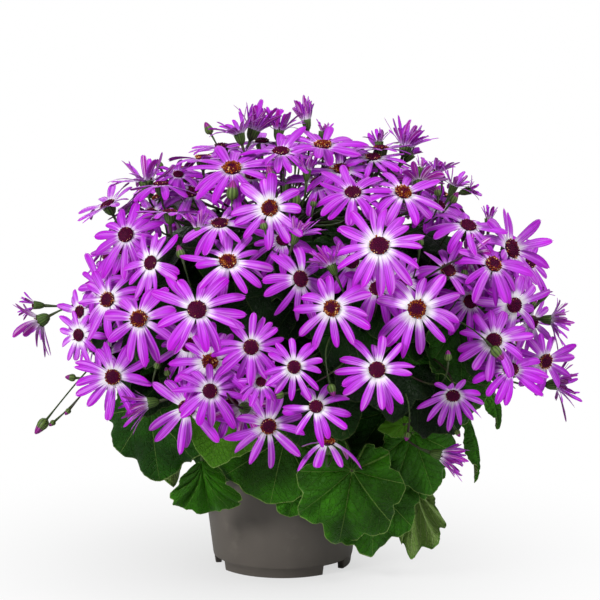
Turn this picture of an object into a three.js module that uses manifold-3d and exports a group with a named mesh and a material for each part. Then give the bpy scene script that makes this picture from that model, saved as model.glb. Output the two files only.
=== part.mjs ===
// Florist cineraria in its nursery pot: a dome of two-tone daisy heads on forking shoots,
// above broad lobed leaves that hang over the rim.
// Millimetres, +Z up. The origin is the middle of the pot's underside and -Y is the show side.

import * as THREE from "three";
import { mergeVertices } from "three/addons/utils/BufferGeometryUtils.js";
import Module from "manifold-3d";

const wasm = await Module();
wasm.setup();

// ---------------------------------------------------------------- driving dimensions

const GAP = 0.3; // clearance kept between neighbouring pieces
const SWELL = 0.5; // how much a placed piece is swollen before it is cut from its neighbours
const MERGE = 1e-4; // vertices closer than this are one
const TIDY = 0.02; // how far a cut face may move when its slivers are removed
const UP = new THREE.Vector3(0, 0, 1);

const POT = {
  height: 110,
  footRadius: 50, // outside, on the ground
  lean: Math.tan(THREE.MathUtils.degToRad(7)), // how much the wall widens per millimetre of height
  wall: 1.6,
  ledgeHeight: 7.3, // fine step where the foot ring meets the wall
  ledgeStep: 0.5,
  padRadius: 33, // flat middle of the underside
  gutterInner: 36.5, // raised ring that carries the drain holes
  gutterOuter: 45.5,
  gutterHeight: 8.6,
  rimDepth: 6,
  rimProud: 2.4,
  sides: 48,
};
const DRAIN = { count: 8, radius: 3.5, ringRadius: 41, sides: 10 };
const FOOT_NOTCH = { width: 23, height: 7, azimuths: [-160, -41, 79] };

const SOIL = { top: 98, mound: 2.5 };

const SHOOT = {
  rootRadius: 18,
  trunkRadius: 3.2,
  trunkSides: 6,
  trunkSteps: 5,
  stalkRadius: 1.1,
  stalkSides: 5,
  stalkSteps: 7,
};
// Where each shoot forks: azimuth in degrees from +X, distance from the pot's axis and height.
const FORKS = [
  { name: "shoot_front_left", azimuth: -128, radius: 66, height: 165 },
  { name: "shoot_front_right", azimuth: -52, radius: 66, height: 165 },
  { name: "shoot_right", azimuth: 4, radius: 70, height: 172 },
  { name: "shoot_back_right", azimuth: 62, radius: 66, height: 168 },
  { name: "shoot_back_left", azimuth: 118, radius: 66, height: 168 },
  { name: "shoot_left", azimuth: 176, radius: 70, height: 172 },
  { name: "shoot_middle_front", azimuth: -90, radius: 26, height: 238 },
  { name: "shoot_middle_back", azimuth: 90, radius: 26, height: 238 },
];

const HEAD = {
  petalThickness: 0.8,
  shoulder: 0.96, // how far out a petal is still full width, in head radii
  petalFill: 0.66, // petal width over petal spacing
  valley: 0.34, // where neighbouring petals part, in head radii
  reflex: 0.1, // how far the petal tips fall back, in head radii
  disc: 0.21, // radius of the middle button, in head radii
  discHeight: 3,
  cupDepth: 8,
  cupSides: 6,
};

// The show side is drafted on a square grid seen from EYE, GRID.focal squares to one unit of
// tangent. Heads sit where a grid square's sight line meets the dome, scaled by their reach.
const EYE = new THREE.Vector3(12.6, -1942, 527.6);
const GRID = { middle: 300, focal: 2704, pitch: THREE.MathUtils.degToRad(9.7) };
const DOME = { centre: new THREE.Vector3(12.6, 0, 177), width: 195, depth: 178, rise: 150, fall: 130 };

// Open heads of the show side: grid square, reach, turn right and tilt up from the eye
// in degrees, radius, and number of petals.
const FRONT_HEADS = [
  { at: [379, 246], reach: 1.07, yaw: 0, tilt: 28, radius: 33, petals: 17 },
  { at: [197, 310], reach: 1.06, yaw: 0, tilt: 22, radius: 32, petals: 13 },
  { at: [228, 262], reach: 0.97, yaw: 0, tilt: 38, radius: 29.5, petals: 14 },
  { at: [270, 208], reach: 1.03, yaw: -15, tilt: 5, radius: 28, petals: 11 },
  { at: [332, 308], reach: 1.02, yaw: -15, tilt: 0, radius: 27.5, petals: 12 },
  { at: [417, 309], reach: 1.05, yaw: 0, tilt: 5, radius: 30.5, petals: 13 },
  { at: [251, 347], reach: 1.0, yaw: 0, tilt: 0, radius: 26, petals: 17 },
  { at: [377, 370], reach: 1.04, yaw: 0, tilt: 15, radius: 28, petals: 14 },
  { at: [113, 377], reach: 1.03, yaw: -10, tilt: 0, radius: 26.5, petals: 16 },
  { at: [139, 319], reach: 1.03, yaw: -15, tilt: 10, radius: 29, petals: 11 },
  { at: [300, 279], reach: 0.95, yaw: 36, tilt: 12, radius: 29, petals: 11 },
  { at: [294, 367], reach: 1.05, yaw: 0, tilt: 0, radius: 22.5, petals: 13 },
  { at: [268, 426], reach: 1.0, yaw: 20, tilt: -10, radius: 27, petals: 11 },
  { at: [210, 391], reach: 0.99, yaw: 0, tilt: 0, radius: 25, petals: 14 },
  { at: [232, 169], reach: 1.02, yaw: 0, tilt: 52, radius: 32, petals: 13 },
  { at: [281, 152], reach: 1.0, yaw: 0, tilt: 67, radius: 29, petals: 15 },
  { at: [353, 193], reach: 1.0, yaw: 0, tilt: 52, radius: 29, petals: 12 },
  { at: [403, 193], reach: 1.03, yaw: 18, tilt: 47, radius: 29, petals: 12 },
  { at: [468, 226], reach: 1.0, yaw: 25, tilt: 52, radius: 28.5, petals: 12 },
  { at: [448, 271], reach: 0.95, yaw: 20, tilt: 40, radius: 26, petals: 12 },
  { at: [493, 265], reach: 1.04, yaw: 30, tilt: 35, radius: 29, petals: 13 },
  { at: [494, 341], reach: 1.0, yaw: 0, tilt: 25, radius: 28, petals: 13 },
  { at: [126, 235], reach: 1.0, yaw: -20, tilt: 20, radius: 27.5, petals: 12 },
  { at: [108, 300], reach: 0.97, yaw: -35, tilt: 15, radius: 26.5, petals: 13 },
  { at: [545, 361], reach: 1.02, yaw: 35, tilt: -15, radius: 26.5, petals: 12 },
  { at: [511, 249], reach: 1.0, yaw: 52, tilt: 16, radius: 34, petals: 12 },
  { at: [40, 321], reach: 1.0, yaw: -114, tilt: -26, radius: 25, petals: 12 },
];

// Heads that face away from the show side: azimuth and height angle on the dome in degrees.
const BACK_HEADS = [
  { azimuth: 90, rise: 4, radius: 27, petals: 13 },
  { azimuth: 62, rise: 34, radius: 27, petals: 14 },
  { azimuth: 121, rise: 30, radius: 27, petals: 12 },
  { azimuth: 33, rise: 2, radius: 26, petals: 13 },
  { azimuth: 138, rise: 6, radius: 26, petals: 12 },
];

// Half-open heads, whose petals still stand in a tuft: grid square of the cup and of the tips.
const HALF_OPEN_HEADS = [
  { at: [306, 120], tip: [302, 96], reach: 1.0, spread: 7 },
  { at: [239, 134], tip: [231, 106], reach: 1.02, spread: 17 },
  { at: [406, 146], tip: [416, 114], reach: 1.03, spread: 15 },
  { at: [556, 384], tip: [586, 380], reach: 1.0, spread: 18 },
];

const LEAF = {
  thickness: 0.9,
  rings: [0.55, 1],
  spokes: 20,
  stalkRadius: 1.9,
  stalkSides: 5,
  stalkSteps: 7,
  rootRadius: 38,
  stalkLift: 42,
  arch: 0.16, // how far the blade's rim falls back, in blade lengths
};
// Leaves of the show side: grid squares of the heart (where the stalk meets the blade) and of
// the tip, how far behind the pot's axis each lies, width scale, the way the upper face looks
// (degrees to the right of the show side, and lifted) and the azimuth where the stalk is rooted.
const FRONT_LEAVES = [
  { name: "leaf_front_right", heart: [352, 470], tip: [340, 549], depth: [-104, -92],
    width: 0.88, yaw: 5, lift: 20, root: -62 },
  { name: "leaf_front_middle", heart: [286, 436], tip: [268, 504], depth: [-88, -84],
    width: 1.45, yaw: -5, lift: 20, root: -88 },
  { name: "leaf_front_left", heart: [202, 462], tip: [207, 514], depth: [-84, -78],
    width: 1.5, yaw: -10, lift: 20, root: -124 },
  { name: "leaf_left_low", heart: [151, 407], tip: [155, 473], depth: [-64, -66],
    width: 1.27, yaw: -30, lift: 20, root: -142 },
  { name: "leaf_left_bright", heart: [228, 403], tip: [209, 454], depth: [-108, -112],
    width: 1.2, yaw: -15, lift: 30, root: -106 },
  { name: "leaf_under_right", heart: [371, 484], tip: [376, 556], depth: [-70, -72],
    width: 0.96, yaw: 15, lift: 10, root: -50 },
  { name: "leaf_right_middle", heart: [412, 432], tip: [433, 488], depth: [-84, -76],
    width: 1.0, yaw: 15, lift: 20, root: -38 },
  { name: "leaf_right_low", heart: [417, 474], tip: [408, 549], depth: [-38, -40],
    width: 1.0, yaw: 192, lift: 0, root: -14 },
  { name: "leaf_right_edge", heart: [458, 402], tip: [486, 472], depth: [-40, -30],
    width: 0.14, yaw: 62, lift: 5, root: -2 },
  { name: "leaf_right_inner", heart: [440, 362], tip: [432, 440], depth: [-92, -80],
    width: 1.0, yaw: 15, lift: 15, root: -26 },
];
// Leaves out of sight from there: heart and tip as [x, y, z].
const BACK_LEAVES = [
  { name: "leaf_back_right", heart: [70, 58, 108], tip: [92, 84, 56],
    width: 1.25, yaw: 130, lift: 20, root: 44 },
  { name: "leaf_back_middle", heart: [4, 88, 106], tip: [-8, 106, 48],
    width: 1.3, yaw: 178, lift: 20, root: 88 },
  { name: "leaf_back_left", heart: [-66, 62, 104], tip: [-94, 80, 56],
    width: 1.3, yaw: 228, lift: 20, root: 136 },
  { name: "leaf_left_high", heart: [-80, 14, 122], tip: [-112, 22, 84],
    width: 1.1, yaw: 262, lift: 25, root: 168 },
];

// ---------------------------------------------------------------- materials

function material(color, roughness) {
  return new THREE.MeshStandardMaterial({ color, roughness, metalness: 0 });
}
const potPlastic = material(0x6c625c, 0.55);
const compost = material(0x2e211a, 0.95);
const stemGreen = material(0x2a3a1c, 0.6);
const leafGreen = material(0x2f6a1c, 0.5);
const petalMagenta = material(0xc846e1, 0.55);

// ---------------------------------------------------------------- closed solids

// A closed geometry becomes a solid: shared vertices merged, faces turned outwards.
function solidOf(geometry) {
  const bare = new THREE.BufferGeometry();
  bare.setAttribute("position", geometry.getAttribute("position"));
  if (geometry.index) bare.setIndex(geometry.index);
  const merged = mergeVertices(bare, MERGE);
  const corners = merged.index.array;
  const triangles = [];
  for (let i = 0; i < corners.length; i += 3) {
    const [a, b, c] = corners.slice(i, i + 3);
    if (a !== b && b !== c && c !== a) triangles.push(a, b, c);
  }
  const vertProperties = new Float32Array(merged.getAttribute("position").array);
  const build = (order) => new wasm.Manifold(
    new wasm.Mesh({ numProp: 3, vertProperties, triVerts: new Uint32Array(order) }),
  );
  const solid = build(triangles);
  return solid.volume() > 0 ? solid : build(triangles.reverse());
}

function geometryOf(solid) {
  const mesh = solid.getMesh();
  const geometry = new THREE.BufferGeometry();
  geometry.setAttribute("position", new THREE.BufferAttribute(mesh.vertProperties, 3));
  geometry.setIndex(new THREE.BufferAttribute(mesh.triVerts, 1));
  return geometry;
}

function biggestBody(solid) {
  const bodies = solid.decompose();
  return bodies.reduce((best, body) => (body.volume() > best.volume() ? body : best));
}

function boxesMeet(one, other) {
  const a = one.boundingBox();
  const b = other.boundingBox();
  return [0, 1, 2].every((i) => a.min[i] < b.max[i] && b.min[i] < a.max[i]);
}

const plant = new THREE.Group();
const placed = []; // each placed piece, swollen by SWELL

// Adds a piece at its pose. shape(grow) gives its solid in its own frame, swollen by grow.
// Whatever the pieces placed before it take up, with the gap, is cut away from it.
function place(name, shape, finish, pose = new THREE.Matrix4()) {
  const toWorld = (grow) => shape(grow).transform(pose.elements);
  let solid = toWorld(0);
  for (const other of placed) {
    if (boxesMeet(solid, other)) solid = solid.subtract(other);
  }
  solid = biggestBody(solid.simplify(TIDY));
  placed.push(toWorld(SWELL));
  const geometry = geometryOf(solid).applyMatrix4(pose.clone().invert());
  geometry.computeVertexNormals();
  const mesh = new THREE.Mesh(geometry, finish);
  mesh.name = name;
  pose.decompose(mesh.position, mesh.quaternion, mesh.scale);
  plant.add(mesh);
}

function lathe(profile, sides) {
  const points = profile.map(([radius, height]) => new THREE.Vector2(radius, height));
  return new THREE.LatheGeometry(points, sides).rotateX(Math.PI / 2);
}

function tube(curve, radius, sides, steps) {
  const section = new THREE.Shape();
  for (let i = 0; i < sides; i++) {
    const angle = (2 * Math.PI * i) / sides;
    const [x, y] = [radius * Math.cos(angle), radius * Math.sin(angle)];
    if (i === 0) section.moveTo(x, y);
    else section.lineTo(x, y);
  }
  const options = { steps, extrudePath: curve, bevelEnabled: false };
  return solidOf(new THREE.ExtrudeGeometry(section, options));
}

function polar(azimuth, radius, height) {
  const angle = THREE.MathUtils.degToRad(azimuth);
  return new THREE.Vector3(radius * Math.cos(angle), radius * Math.sin(angle), height);
}

// ---------------------------------------------------------------- pot and soil

function wallRadius(height) {
  return POT.footRadius + POT.lean * height;
}

function potSolid(grow) {
  const { height, wall, gutterHeight, ledgeHeight, ledgeStep, rimDepth, rimProud } = POT;
  const floorTop = gutterHeight + wall;
  const shell = solidOf(lathe([
    [0, -grow],
    [POT.padRadius + grow, -grow],
    [POT.gutterInner + grow, gutterHeight - grow],
    [POT.gutterOuter - grow, gutterHeight - grow],
    [POT.gutterOuter - grow, -grow],
    [POT.footRadius + grow, -grow],
    [wallRadius(ledgeHeight) + grow, ledgeHeight],
    [wallRadius(ledgeHeight) + ledgeStep + grow, ledgeHeight],
    [wallRadius(height - rimDepth) + ledgeStep + grow, height - rimDepth - grow],
    [wallRadius(height - rimDepth) + rimProud + grow, height - rimDepth - grow],
    [wallRadius(height) + rimProud + grow, height + grow],
    [wallRadius(height) - wall - grow, height + grow],
    [wallRadius(floorTop) - wall - grow, floorTop + grow],
    [POT.gutterInner - wall - grow, floorTop + grow],
    [POT.padRadius - wall - grow, wall + grow],
    [0, wall + grow],
  ], POT.sides));
  if (grow > 0) return shell;

  const cutters = [];
  for (let i = 0; i < DRAIN.count; i++) {
    const centre = polar((360 * i) / DRAIN.count, DRAIN.ringRadius, floorTop);
    const hole = new THREE.CylinderGeometry(DRAIN.radius, DRAIN.radius, 4 * wall, DRAIN.sides);
    cutters.push(hole.rotateX(Math.PI / 2).translate(...centre));
  }
  for (const azimuth of FOOT_NOTCH.azimuths) {
    const centre = polar(azimuth, POT.footRadius, 0);
    const notch = new THREE.BoxGeometry(4 * FOOT_NOTCH.height, FOOT_NOTCH.width, 2 * FOOT_NOTCH.height);
    cutters.push(notch.rotateZ(THREE.MathUtils.degToRad(azimuth)).translate(...centre));
  }
  return cutters.reduce((body, cutter) => body.subtract(solidOf(cutter)), shell);
}

function soilSolid(grow) {
  const floorTop = POT.gutterHeight + POT.wall;
  const inside = POT.wall + SWELL;
  return solidOf(lathe([
    [0, inside],
    [POT.padRadius - inside, inside],
    [POT.gutterInner - inside, floorTop + SWELL],
    [wallRadius(floorTop) - inside, floorTop + SWELL],
    [wallRadius(SOIL.top) - inside, SOIL.top + grow],
    [0, SOIL.top + SOIL.mound + grow],
  ], POT.sides));
}

function soilHeight(radius) {
  return SOIL.top + SOIL.mound * (1 - radius / wallRadius(SOIL.top));
}

// ---------------------------------------------------------------- flower heads

function sightLine([column, row]) {
  const right = (column - GRID.middle) / GRID.focal;
  const up = (GRID.middle - row) / GRID.focal;
  const { pitch } = GRID;
  return new THREE.Vector3(
    right,
    Math.cos(pitch) + up * Math.sin(pitch),
    -Math.sin(pitch) + up * Math.cos(pitch),
  ).normalize();
}

// The first point where a sight line meets the dome scaled by reach, or, where it passes the
// dome by, the point where it comes closest.
function domePoint(square, reach) {
  const line = sightLine(square);
  const squash = (v, rise) => new THREE.Vector3(v.x / DOME.width, v.y / DOME.depth, v.z / rise);
  const meet = (rise) => {
    const start = squash(EYE.clone().sub(DOME.centre), rise);
    const along = squash(line, rise);
    const closest = -start.dot(along) / along.lengthSq();
    const miss = start.lengthSq() - closest * closest * along.lengthSq();
    const back = Math.sqrt(Math.max(0, reach * reach - miss) / along.lengthSq());
    return EYE.clone().addScaledVector(line, closest - back);
  };
  const upper = meet(DOME.rise);
  return upper.z >= DOME.centre.z ? upper : meet(DOME.fall);
}

// A direction turned right by yaw and up by tilt from the one that faces the eye.
function facingFrom(centre, yaw, tilt) {
  const toEye = EYE.clone().sub(centre).normalize();
  const right = new THREE.Vector3().crossVectors(UP, toEye).normalize();
  const up = new THREE.Vector3().crossVectors(toEye, right);
  const [turn, lift] = [yaw, tilt].map(THREE.MathUtils.degToRad);
  return toEye.multiplyScalar(Math.cos(lift) * Math.cos(turn))
    .addScaledVector(right, Math.cos(lift) * Math.sin(turn))
    .addScaledVector(up, Math.sin(lift));
}

function poseOf(centre, facing) {
  const turn = new THREE.Quaternion().setFromUnitVectors(UP, facing);
  return new THREE.Matrix4().compose(centre, turn, new THREE.Vector3(1, 1, 1));
}

// The ring of petals is a flat star whose arms fall back towards their tips.
function petalStar({ petals, radius }, grow) {
  const outline = new THREE.Shape();
  const step = (2 * Math.PI) / petals;
  const full = radius + grow;
  const point = (angle, reach) => [reach * Math.cos(angle), reach * Math.sin(angle)];
  for (let i = 0; i < petals; i++) {
    const valley = point((i - 0.5) * step, HEAD.valley * radius + grow);
    if (i === 0) outline.moveTo(...valley);
    else outline.lineTo(...valley);
    const half = 0.5 * HEAD.petalFill * step + grow / full;
    outline.lineTo(...point(i * step - half, HEAD.shoulder * full));
    outline.lineTo(...point(i * step + half, HEAD.shoulder * full));
  }
  const depth = HEAD.petalThickness + 2 * grow;
  const star = new THREE.ExtrudeGeometry(outline, { depth, bevelEnabled: false });
  star.translate(0, 0, -depth / 2);
  const places = star.getAttribute("position");
  for (let i = 0; i < places.count; i++) {
    const out = Math.hypot(places.getX(i), places.getY(i)) / radius;
    places.setZ(i, places.getZ(i) - HEAD.reflex * radius * out * out);
  }
  return solidOf(star);
}

// The green cup below and the button of florets above, turned in one.
function cupAndDisc(radius, grow) {
  const disc = HEAD.disc * radius + grow;
  return solidOf(lathe([
    [0, -HEAD.cupDepth - grow],
    [0.4 * disc, -HEAD.cupDepth - grow],
    [0.85 * disc, -0.4 * HEAD.cupDepth],
    [disc, HEAD.petalThickness],
    [0.7 * disc, HEAD.discHeight + grow],
    [0, HEAD.discHeight + grow],
  ], HEAD.cupSides));
}

function openHead(head) {
  return (grow) => petalStar(head, grow).add(cupAndDisc(head.radius, grow));
}

// A half-open head is a closed tuft on its cup, widening to spread at the petal tips.
function tuft({ length, spread }) {
  return (grow) => solidOf(lathe([
    [0, -HEAD.cupDepth - grow],
    [2.4 + grow, -HEAD.cupDepth - grow],
    [4.6 + grow, 0],
    [spread + grow, 0.86 * length],
    [0.6 * spread, length + grow],
    [0, 0.8 * length + grow],
  ], HEAD.cupSides));
}

const heads = []; // name, shape, pose, and the place and direction that a stalk needs
for (const head of FRONT_HEADS) {
  const centre = domePoint(head.at, head.reach);
  const facing = facingFrom(centre, head.yaw, head.tilt);
  heads.push({ shape: openHead(head), centre, facing });
}
for (const head of BACK_HEADS) {
  const [turn, rise] = [head.azimuth, head.rise].map(THREE.MathUtils.degToRad);
  const facing = new THREE.Vector3(
    Math.cos(turn) * Math.cos(rise),
    Math.sin(turn) * Math.cos(rise),
    Math.sin(rise),
  );
  const size = new THREE.Vector3(DOME.width, DOME.depth, DOME.rise);
  const centre = facing.clone().multiply(size).add(DOME.centre);
  heads.push({ shape: openHead(head), centre, facing });
}
heads.forEach((head, i) => {
  head.name = `flower_head_${String(i + 1).padStart(2, "0")}`;
});
HALF_OPEN_HEADS.forEach((head, i) => {
  const centre = domePoint(head.at, head.reach);
  const distance = centre.distanceTo(EYE);
  const tip = EYE.clone().addScaledVector(sightLine(head.tip), distance);
  const length = tip.distanceTo(centre);
  const facing = tip.sub(centre).normalize();
  const name = `half_open_head_${String(i + 1).padStart(2, "0")}`;
  heads.push({ name, shape: tuft({ length, spread: head.spread }), centre, facing });
});

// ---------------------------------------------------------------- shoots

const forks = FORKS.map((fork) => {
  const root = polar(fork.azimuth, SHOOT.rootRadius, soilHeight(SHOOT.rootRadius) + GAP);
  const end = polar(fork.azimuth, fork.radius, fork.height);
  const rise = end.z - root.z;
  const bend = root.clone().addScaledVector(UP, 0.55 * rise);
  const shoulder = root.clone().lerp(end, 0.6).addScaledVector(UP, 0.15 * rise);
  const trunk = new THREE.CubicBezierCurve3(root, bend, shoulder, end);
  return { name: fork.name, trunk, end, heads: [] };
});

for (const head of heads) {
  const away = (fork) => fork.end.distanceTo(head.centre);
  forks.reduce((best, fork) => (away(fork) < away(best) ? fork : best)).heads.push(head);
}

function stalk(fork, head, grow) {
  const foot = head.centre.clone().addScaledVector(head.facing, -HEAD.cupDepth - GAP + grow);
  const start = fork.trunk.getPoint(0.93);
  const reach = 0.38 * start.distanceTo(foot);
  const leave = start.clone().addScaledVector(fork.trunk.getTangent(1), reach);
  const arrive = foot.clone().addScaledVector(head.facing, -reach);
  const curve = new THREE.CubicBezierCurve3(start, leave, arrive, foot);
  return tube(curve, SHOOT.stalkRadius + grow, SHOOT.stalkSides, SHOOT.stalkSteps);
}

function shoot(fork) {
  return (grow) => fork.heads.reduce(
    (body, head) => body.add(stalk(fork, head, grow)),
    tube(fork.trunk, SHOOT.trunkRadius + grow, SHOOT.trunkSides, SHOOT.trunkSteps),
  );
}

// ---------------------------------------------------------------- leaves

// Distance from the heart to the margin in the direction angle from the tip, in blade lengths:
// a broad heart with seven lobes and a deep notch at the stalk.
function leafOutline(angle) {
  const notch = 1 - 0.85 * Math.exp(-(((Math.PI - Math.abs(angle)) / 0.4) ** 2));
  const heart = 0.62 + 0.3 * Math.cos(angle) + 0.08 * Math.cos(2 * angle);
  return heart * notch * (1 + 0.06 * Math.cos(9 * angle));
}

// The blade starts as a thin disc with rings and spokes. Its rim takes the leaf's outline, and
// it arches back from the heart to the margin. Local +X points to the tip, +Z is the upper face.
function blade(leaf, length, grow) {
  const half = LEAF.thickness / 2 + grow;
  const lower = LEAF.rings.map((ring) => [ring, -half]);
  const upper = LEAF.rings.map((ring) => [ring, half]).reverse();
  const disc = lathe([[0, -half], ...lower, ...upper, [0, half]], LEAF.spokes);
  const places = disc.getAttribute("position");
  for (let i = 0; i < places.count; i++) {
    const [x, y, z] = [places.getX(i), places.getY(i), places.getZ(i)];
    const ring = Math.hypot(x, y);
    const angle = Math.atan2(y, x);
    const out = ring * (length * leafOutline(angle) + grow);
    const fall = LEAF.arch * length * (out / length) ** 2;
    places.setXYZ(i, out * Math.cos(angle), leaf.width * out * Math.sin(angle), z - fall);
  }
  return solidOf(disc);
}

// The point of a grid square's sight line that lies depth behind the pot's axis.
function squareAt(square, depth) {
  const line = sightLine(square);
  return EYE.clone().addScaledVector(line, (depth - EYE.y) / line.y);
}

function leafParts(leaf) {
  const [heart, tip] = leaf.depth
    ? [squareAt(leaf.heart, leaf.depth[0]), squareAt(leaf.tip, leaf.depth[1])]
    : [new THREE.Vector3(...leaf.heart), new THREE.Vector3(...leaf.tip)];
  const along = tip.clone().sub(heart);
  const length = along.length();
  along.normalize();
  const lift = THREE.MathUtils.degToRad(leaf.lift);
  const outward = polar(leaf.yaw - 90, Math.cos(lift), Math.sin(lift));
  const across = new THREE.Vector3().crossVectors(outward, along).normalize();
  const face = new THREE.Vector3().crossVectors(along, across);
  const pose = new THREE.Matrix4().makeBasis(along, across, face).setPosition(heart);

  const root = polar(leaf.root, LEAF.rootRadius, soilHeight(LEAF.rootRadius) + GAP);
  const rise = root.clone().addScaledVector(UP, LEAF.stalkLift);
  const arrive = heart.clone().addScaledVector(along, -0.6 * LEAF.stalkLift);
  const end = heart.clone().addScaledVector(along, 1);
  const curve = new THREE.CubicBezierCurve3(root, rise, arrive, end);
  return { pose, length, curve };
}

function leafShape(leaf, { pose, length, curve }) {
  const toLeaf = pose.clone().invert();
  return (grow) => {
    const stalkBody = tube(curve, LEAF.stalkRadius + grow, LEAF.stalkSides, LEAF.stalkSteps);
    return blade(leaf, length, grow).add(stalkBody.transform(toLeaf.elements));
  };
}

// ---------------------------------------------------------------- assembly

place("pot", potSolid, potPlastic);
place("soil", soilSolid, compost);
for (const fork of forks) place(fork.name, shoot(fork), stemGreen);
for (const head of heads) place(head.name, head.shape, petalMagenta, poseOf(head.centre, head.facing));
for (const leaf of [...FRONT_LEAVES, ...BACK_LEAVES]) {
  const parts = leafParts(leaf);
  place(leaf.name, leafShape(leaf, parts), leafGreen, parts.pose);
}

export default plant;
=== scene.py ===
"""Florist cineraria in its nursery pot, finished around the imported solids.

+Z is up and the show side faces -Y. Shapes are worked out in millimetres as whole numpy arrays
and brought to metres when they become a mesh. Each piece's object sits at the origin.
"""
import math

import bpy
import numpy as np
from mathutils import Matrix


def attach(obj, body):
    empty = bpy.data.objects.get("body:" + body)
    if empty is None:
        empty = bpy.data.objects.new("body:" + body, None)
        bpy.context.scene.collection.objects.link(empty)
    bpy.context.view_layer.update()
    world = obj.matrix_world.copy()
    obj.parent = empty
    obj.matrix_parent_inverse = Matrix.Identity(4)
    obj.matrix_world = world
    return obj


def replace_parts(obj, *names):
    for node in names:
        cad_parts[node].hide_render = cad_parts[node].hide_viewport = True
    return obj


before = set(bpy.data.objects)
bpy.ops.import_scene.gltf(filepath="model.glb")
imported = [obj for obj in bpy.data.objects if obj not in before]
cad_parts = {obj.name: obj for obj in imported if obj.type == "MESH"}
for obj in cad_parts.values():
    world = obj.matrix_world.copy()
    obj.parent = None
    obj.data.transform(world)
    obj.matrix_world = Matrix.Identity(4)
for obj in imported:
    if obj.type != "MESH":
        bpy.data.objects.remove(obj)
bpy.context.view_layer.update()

# ---------------------------------------------------------------- driving values (mm, degrees)

METRES = 0.001
UP = np.array([0.0, 0.0, 1.0])
GOLDEN_ANGLE = math.pi * (3 - math.sqrt(5))

EYE = np.array([12.6, -1942.0, 527.6])  # where the plant is seen from, and drafted from
GRID = 600  # squares along each side of the drafting grid
FOCAL = 2704.0  # grid squares to one unit of tangent
PITCH = math.radians(9.7)
SENSOR = 36.0

DOME_CENTRE = np.array([12.6, 0.0, 177.0])
DOME_WIDTH, DOME_DEPTH, DOME_RISE, DOME_FALL = 195.0, 178.0, 150.0, 130.0

BACK_WIDTH, BACK_RISE = 170.0, 136.0  # the far side is a little slimmer

# Heads of the far side: points of their lattice, the height on the dome at which it begins, the
# least distance between two heads behind and beside the axis, how far those at the sides and
# before LIMB_DEPTH are drawn in, and x and height of a spot that stays bare.
LATTICE_POINTS, LATTICE_LOW = 420, -0.36
BACK_SPACING, SIDE_SPACING = 30.0, 33.0
LIMB_DEPTH, LIMB_REACH = 40.0, 0.93
BARE_SPOT, BARE_RADIUS = (139.0, 266.0), 16.0

FOOT_RADIUS, POT_HEIGHT, WALL = 50.0, 110.0, 1.6
LEAN = math.tan(math.radians(7))
LEDGE_HEIGHT, LEDGE_STEP = 7.3, 0.5
PAD_RADIUS, GUTTER_INNER, GUTTER_OUTER, GUTTER_HEIGHT = 33.0, 36.5, 45.5, 8.6
RIM_DEPTH, RIM_PROUD = 6.0, 2.4
NOTCH_WIDTH, NOTCH_HEIGHT, NOTCH_AZIMUTHS = 23.0, 7.0, (-160, -41, 79)
POT_SPOKES, NOTCH_SPOKES = 240, 14
SOIL_TOP, SOIL_MOUND, SOIL_GAP = 98.0, 2.5, 0.6
SOIL_GRID, CRUMB_SIZES = (46, 150), (14.0, 7.0, 3.6, 2.2)

CUP_DEPTH, CUP_RADIUS = 8.0, 0.86  # the radius in disc radii
ROOT_RADIUS, TRUNK_RADIUS, STALK_RADIUS = 18.0, 3.2, 0.85
TRUNK_STEPS, STALK_STEPS = 16, 18  # points along each

# Seeds of what is gathered, and factors of the seeds that names give.
UNDER_SEED, BACK_SEED, INNER_SEED, SOIL_SEED = 23, 41, 17, 5
HEAD_FACTOR, HALF_OPEN_FACTOR, LEAF_FACTOR = 7, 11, 5

# Where each shoot forks: azimuth from +X, distance from the pot's axis and height.
FORKS = {
    "shoot_front_left": (-128, 66, 165),
    "shoot_front_right": (-52, 66, 165),
    "shoot_right": (4, 70, 172),
    "shoot_back_right": (62, 66, 168),
    "shoot_back_left": (118, 66, 168),
    "shoot_left": (176, 70, 172),
    "shoot_middle_front": (-90, 26, 238),
    "shoot_middle_back": (90, 26, 238),
}

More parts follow.
